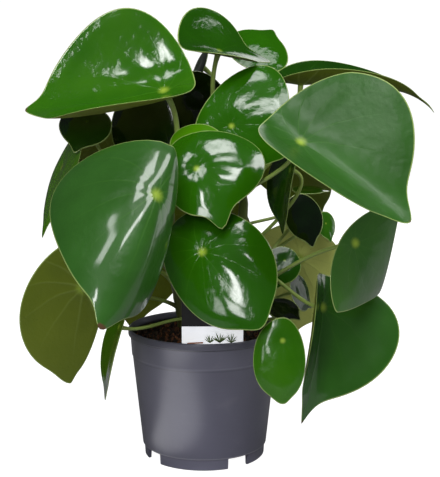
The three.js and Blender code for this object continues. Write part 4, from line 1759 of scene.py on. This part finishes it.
@dataclass
class CareLabel:
    """A printed card on a stake, with a plain field above a white strip with small sprigs."""

    centre_x: float = 6.8
    y: float = -45.2
    width: float = 46.0
    thickness: float = 0.8
    bottom: float = 96.5
    top: float = 141.0
    strip_top: float = 112.2
    corner: float = 3.0
    neck: float = 20.0
    stake: float = 11.0
    stake_tip: float = 58.0
    tip_length: float = 10.0
    shoulder: float = 6.0
    corner_steps: int = 6
    print_lift: float = 0.05

    def _outline(self) -> list[tuple[float, float]]:
        """Returns the card's outline around its own middle, as place across and height."""
        half = self.width / 2
        right = [(0.0, self.stake_tip), (self.stake / 2, self.stake_tip + self.tip_length),
                 (self.neck / 2, self.bottom - self.shoulder), (half, self.bottom)]
        centre = (half - self.corner, self.top - self.corner)
        for step in range(self.corner_steps + 1):
            angle = math.radians(90 * step / self.corner_steps)
            right.append((centre[0] + self.corner * math.cos(angle),
                          centre[1] + self.corner * math.sin(angle)))
        return right + [(-x, z) for x, z in reversed(right[1:])]

    def build(self, inks: dict[str, Material]) -> Object:
        """Builds the label.

        Args:
            inks: Materials of the slate field, the white strip, the sprigs and the clay line.

        Returns:
            The finished piece.
        """
        order = list(inks)
        shape = bmesh.new()
        front = self.y - self.thickness / 2
        ring = [shape.verts.new((self.centre_x + x, front, z)) for x, z in self._outline()]
        face = shape.faces.new(ring)
        grown = bmesh.ops.extrude_face_region(shape, geom=[face])
        moved = [part for part in grown["geom"] if isinstance(part, bmesh.types.BMVert)]
        bmesh.ops.translate(shape, verts=moved, vec=(0, self.thickness, 0))
        bmesh.ops.bisect_plane(
            shape, geom=shape.verts[:] + shape.edges[:] + shape.faces[:],
            plane_co=(0, 0, self.strip_top), plane_no=(0, 0, 1))
        bmesh.ops.recalc_face_normals(shape, faces=shape.faces)
        for part in shape.faces:
            high = part.calc_center_median().z > self.strip_top
            part.material_index = order.index("slate" if high else "white")
        self._sprigs(shape, front - self.print_lift, order.index("sprig"))
        self._line(shape, front - self.print_lift, order.index("clay"))
        made = shape_object("label_card", shape)
        for ink in inks.values():
            made.data.materials.append(ink)
        return made

    def _sprigs(self, shape: bmesh.types.BMesh, y: float, ink: int) -> None:
        """Draws a row of three small fans of pointed leaves on the strip.

        Args:
            shape: The label's working mesh.
            y: Place of the print, just before the card.
            ink: Its place among the materials.
        """
        stream = random.Random(5)
        for across, size in ((-2.0, 0.8), (5.5, 1.1), (14.0, 0.9)):
            base = Vector((self.centre_x + across, y, self.bottom + 3.2))
            for blade in range(7):
                lean = math.radians(-54 + 18 * blade + stream.uniform(-5, 5))
                reach = size * stream.uniform(7.0, 10.0) * (1 - 0.25 * abs(blade - 3) / 3)
                along = Vector((math.sin(lean), 0, math.cos(lean)))
                aside = Vector((math.cos(lean), 0, -math.sin(lean))) * 0.5 * size
                middle = base + along * reach * 0.55
                corners = (base - aside * 0.4, base + aside * 0.4, middle + aside,
                           base + along * reach, middle - aside)
                self._print(shape, corners, ink)

    def _line(self, shape: bmesh.types.BMesh, y: float, ink: int) -> None:
        """Draws a short clay-coloured band low on the strip.

        Args:
            shape: The label's working mesh.
            y: Place of the print, just before the card.
            ink: Its place among the materials.
        """
        left, right = self.centre_x - 19.0, self.centre_x - 7.0
        low, high = self.bottom + 2.2, self.bottom + 3.4
        corners = ((left, low), (right, low + 0.5), (right, high + 0.5), (left, high))
        self._print(shape, [(x, y, z) for x, z in corners], ink)

    @staticmethod
    def _print(shape: bmesh.types.BMesh, corners: list[Point], ink: int) -> None:
        """Adds one printed face that looks to the front.

        Args:
            shape: The label's working mesh.
            corners: Corners of the face.
            ink: Its place among the materials.
        """
        part = shape.faces.new([shape.verts.new(corner) for corner in corners])
        part.material_index = ink
        part.normal_update()
        if part.normal.y > 0:
            part.normal_flip()


# ---- studio -----------------------------------------------------------------


class Lit(Enum):
    """What a softbox is for: everything, reflections alone, or all but reflections."""

    ALL = "all"
    GLOSS = "gloss"
    FILL = "fill"


@dataclass(frozen=True)
class Softbox:
    """A rectangular light: place and size in metres, power in watts, and turn in degrees."""

    name: str
    at: Point
    size: tuple[float, float]
    power: float
    lit: Lit = Lit.ALL
    turn: Point | None = None

    def build(self, aim: Point) -> None:
        """Adds the light.

        Args:
            aim: The point that it faces where it has no turn of its own.
        """
        data = bpy.data.lights.new(self.name, "AREA")
        data.shape = "RECTANGLE"
        data.size, data.size_y = self.size
        data.energy = self.power
        light = bpy.data.objects.new(self.name, data)
        light.location = self.at
        if self.turn is None:
            facing = (Vector(aim) - Vector(self.at)).to_track_quat("-Z", "Y")
            light.rotation_euler = facing.to_euler()
        else:
            light.rotation_euler = [math.radians(part) for part in self.turn]
        light.visible_diffuse = self.lit is not Lit.GLOSS
        light.visible_glossy = self.lit is not Lit.FILL
        bpy.context.scene.collection.objects.link(light)


SOFTBOXES = (
    Softbox("softbox_above", (0.36, -0.86, 1.38), (0.6, 0.15), 3.2),
    Softbox("softbox_crown", (0.16, -0.44, 1.63), (0.6, 0.3), 4.5),
    Softbox("softbox_right", (0.83, -0.41, 1.38), (0.9, 0.26), 5.0),
    Softbox("softbox_strip", (-0.42, -1.25, 0.9), (0.13, 0.5), 3.0),
    Softbox("softbox_low", (-0.88, -1.2, 0.38), (0.2, 0.2), 0.5),
    Softbox("ground_card", (-0.13, -0.11, 0.003), (0.09, 0.22), 0.11, Lit.GLOSS, (180, 0, -45)),
    Softbox("softbox_sheen", (-0.57, -1.37, 0.55), (0.24, 0.2), 1.3, Lit.GLOSS),
    Softbox("softbox_streak", (-0.58, -0.72, 1.47), (0.22, 0.26), 1.2, Lit.GLOSS),
    Softbox("softbox_side", (1.4, 0.6, 0.35), (0.7, 0.7), 1.8),
    Softbox("softbox_back", (0.3, 1.5, 1.1), (0.9, 0.9), 5.0),
    Softbox("fill_above", (0.05, -0.95, 1.5), (1.0, 0.8), 15.0, Lit.FILL),
    Softbox("fill_front", (-0.3, -1.42, 0.7), (0.7, 0.7), 8.0, Lit.FILL),
    Softbox("fill_right", (1.1, -1.1, 0.4), (0.6, 0.6), 1.8, Lit.FILL),
    Softbox("fill_back", (0.2, 1.4, 0.8), (0.9, 0.9), 5.0, Lit.FILL),
)


@dataclass
class Studio:
    """Camera, pale floor and soft lights."""

    camera_at: Point = (12.4, -834.0, 298.0)
    pitch: float = 8.6
    focal_pixels: float = 1080.0
    image_height: float = 477.0
    sensor: float = 36.0
    clip: tuple[float, float] = (0.02, 30.0)
    floor_size: float = 6.0
    ambient: float = 0.05
    aim: Point = (0.0, 0.0, 0.2)
    paper: Rgb = (0.25, 0.25, 0.25)
    white: Rgb = (1.0, 1.0, 1.0)

    def build(self, effects: SharedEffects) -> None:
        """Builds the whole studio.

        Args:
            effects: The shared groups.
        """
        self._camera()
        self._floor(effects)
        for softbox in SOFTBOXES:
            softbox.build(self.aim)
        self._world()

    def _camera(self) -> None:
        """Makes the camera at the photograph's viewing angle."""
        data = bpy.data.cameras.new("camera")
        data.sensor_width = self.sensor
        data.lens = self.focal_pixels / self.image_height * self.sensor
        data.clip_start, data.clip_end = self.clip
        camera = bpy.data.objects.new("camera", data)
        camera.location = in_metres(np.array([self.camera_at]))[0]
        camera.rotation_euler = (math.radians(90 - self.pitch), 0, 0)
        bpy.context.scene.collection.objects.link(camera)
        bpy.context.scene.camera = camera

    def _floor(self, effects: SharedEffects) -> None:
        """Makes the plain pale floor.

        Args:
            effects: The shared groups.
        """
        shape = bmesh.new()
        bmesh.ops.create_grid(shape, x_segments=1, y_segments=1, size=self.floor_size)
        mesh = bpy.data.meshes.new("floor")
        shape.to_mesh(mesh)
        shape.free()
        floor = add_object("floor", mesh)
        finish = Finish("floor_paper", effects)
        seen = finish.graph.add("ShaderNodeLightPath").outputs["Is Camera Ray"]
        finish.set(Base_Color=self.paper, Roughness=0.9, Specular_IOR_Level=0.1,
                   Emission_Color=self.white, Emission_Strength=seen)
        floor.data.materials.append(finish.material)

    def _world(self) -> None:
        """Makes the surroundings white for the camera and softer for everything else."""
        world = bpy.data.worlds.new("studio")
        bpy.context.scene.world = world
        world.use_nodes = True
        graph = Graph(world.node_tree)
        background = world.node_tree.nodes["Background"]
        seen = graph.add("ShaderNodeLightPath").outputs["Is Camera Ray"]
        graph.put(background.inputs["Color"], self.white)
        strength = graph.math("MULTIPLY_ADD", seen, 1.0, self.ambient)
        graph.put(background.inputs["Strength"], strength)
        bpy.context.scene.view_settings.view_transform = "Standard"
        bpy.context.scene.view_settings.look = "None"


# ---- the whole plant --------------------------------------------------------


def build_plant(effects: SharedEffects) -> None:
    """Builds and settles each piece of the object, in order.

    Args:
        effects: The shared groups.
    """
    settle(Pot().build(PotFinish().make(effects)), Slot.POT, "pot")
    mix = SoilFinish()
    heap, crumbs = Soil().build(mix.heap(effects), mix.crumbs(effects))
    settle(heap, Slot.SOIL, "soil")
    settle(crumbs, Slot.SOIL)
    settle(CareLabel().build(LabelFinish().inks(effects)), Slot.LABEL, "care_label")
    skin = StemFinish().make(effects)
    maker = StemMaker()
    for name in STEMS:
        own = [leaf for leaf in LEAVES if leaf.stem == name]
        settle(maker.build(name, own, skin), Slot.STEM, f"stem_{name}")
    leaf_finish = LeafFinish()
    upper, under = leaf_finish.upper(effects), leaf_finish.under(effects)
    blades = BladeMaker()
    for leaf in LEAVES:
        settle(blades.build(leaf, upper, under), Slot.LEAF, leaf.name)


def main() -> None:
    """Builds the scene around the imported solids."""
    logging.basicConfig(level=logging.INFO, format="%(name)s %(message)s")
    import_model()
    effects = SharedEffects()
    Studio().build(effects)
    build_plant(effects)


if __name__ == "__main__":
    main()
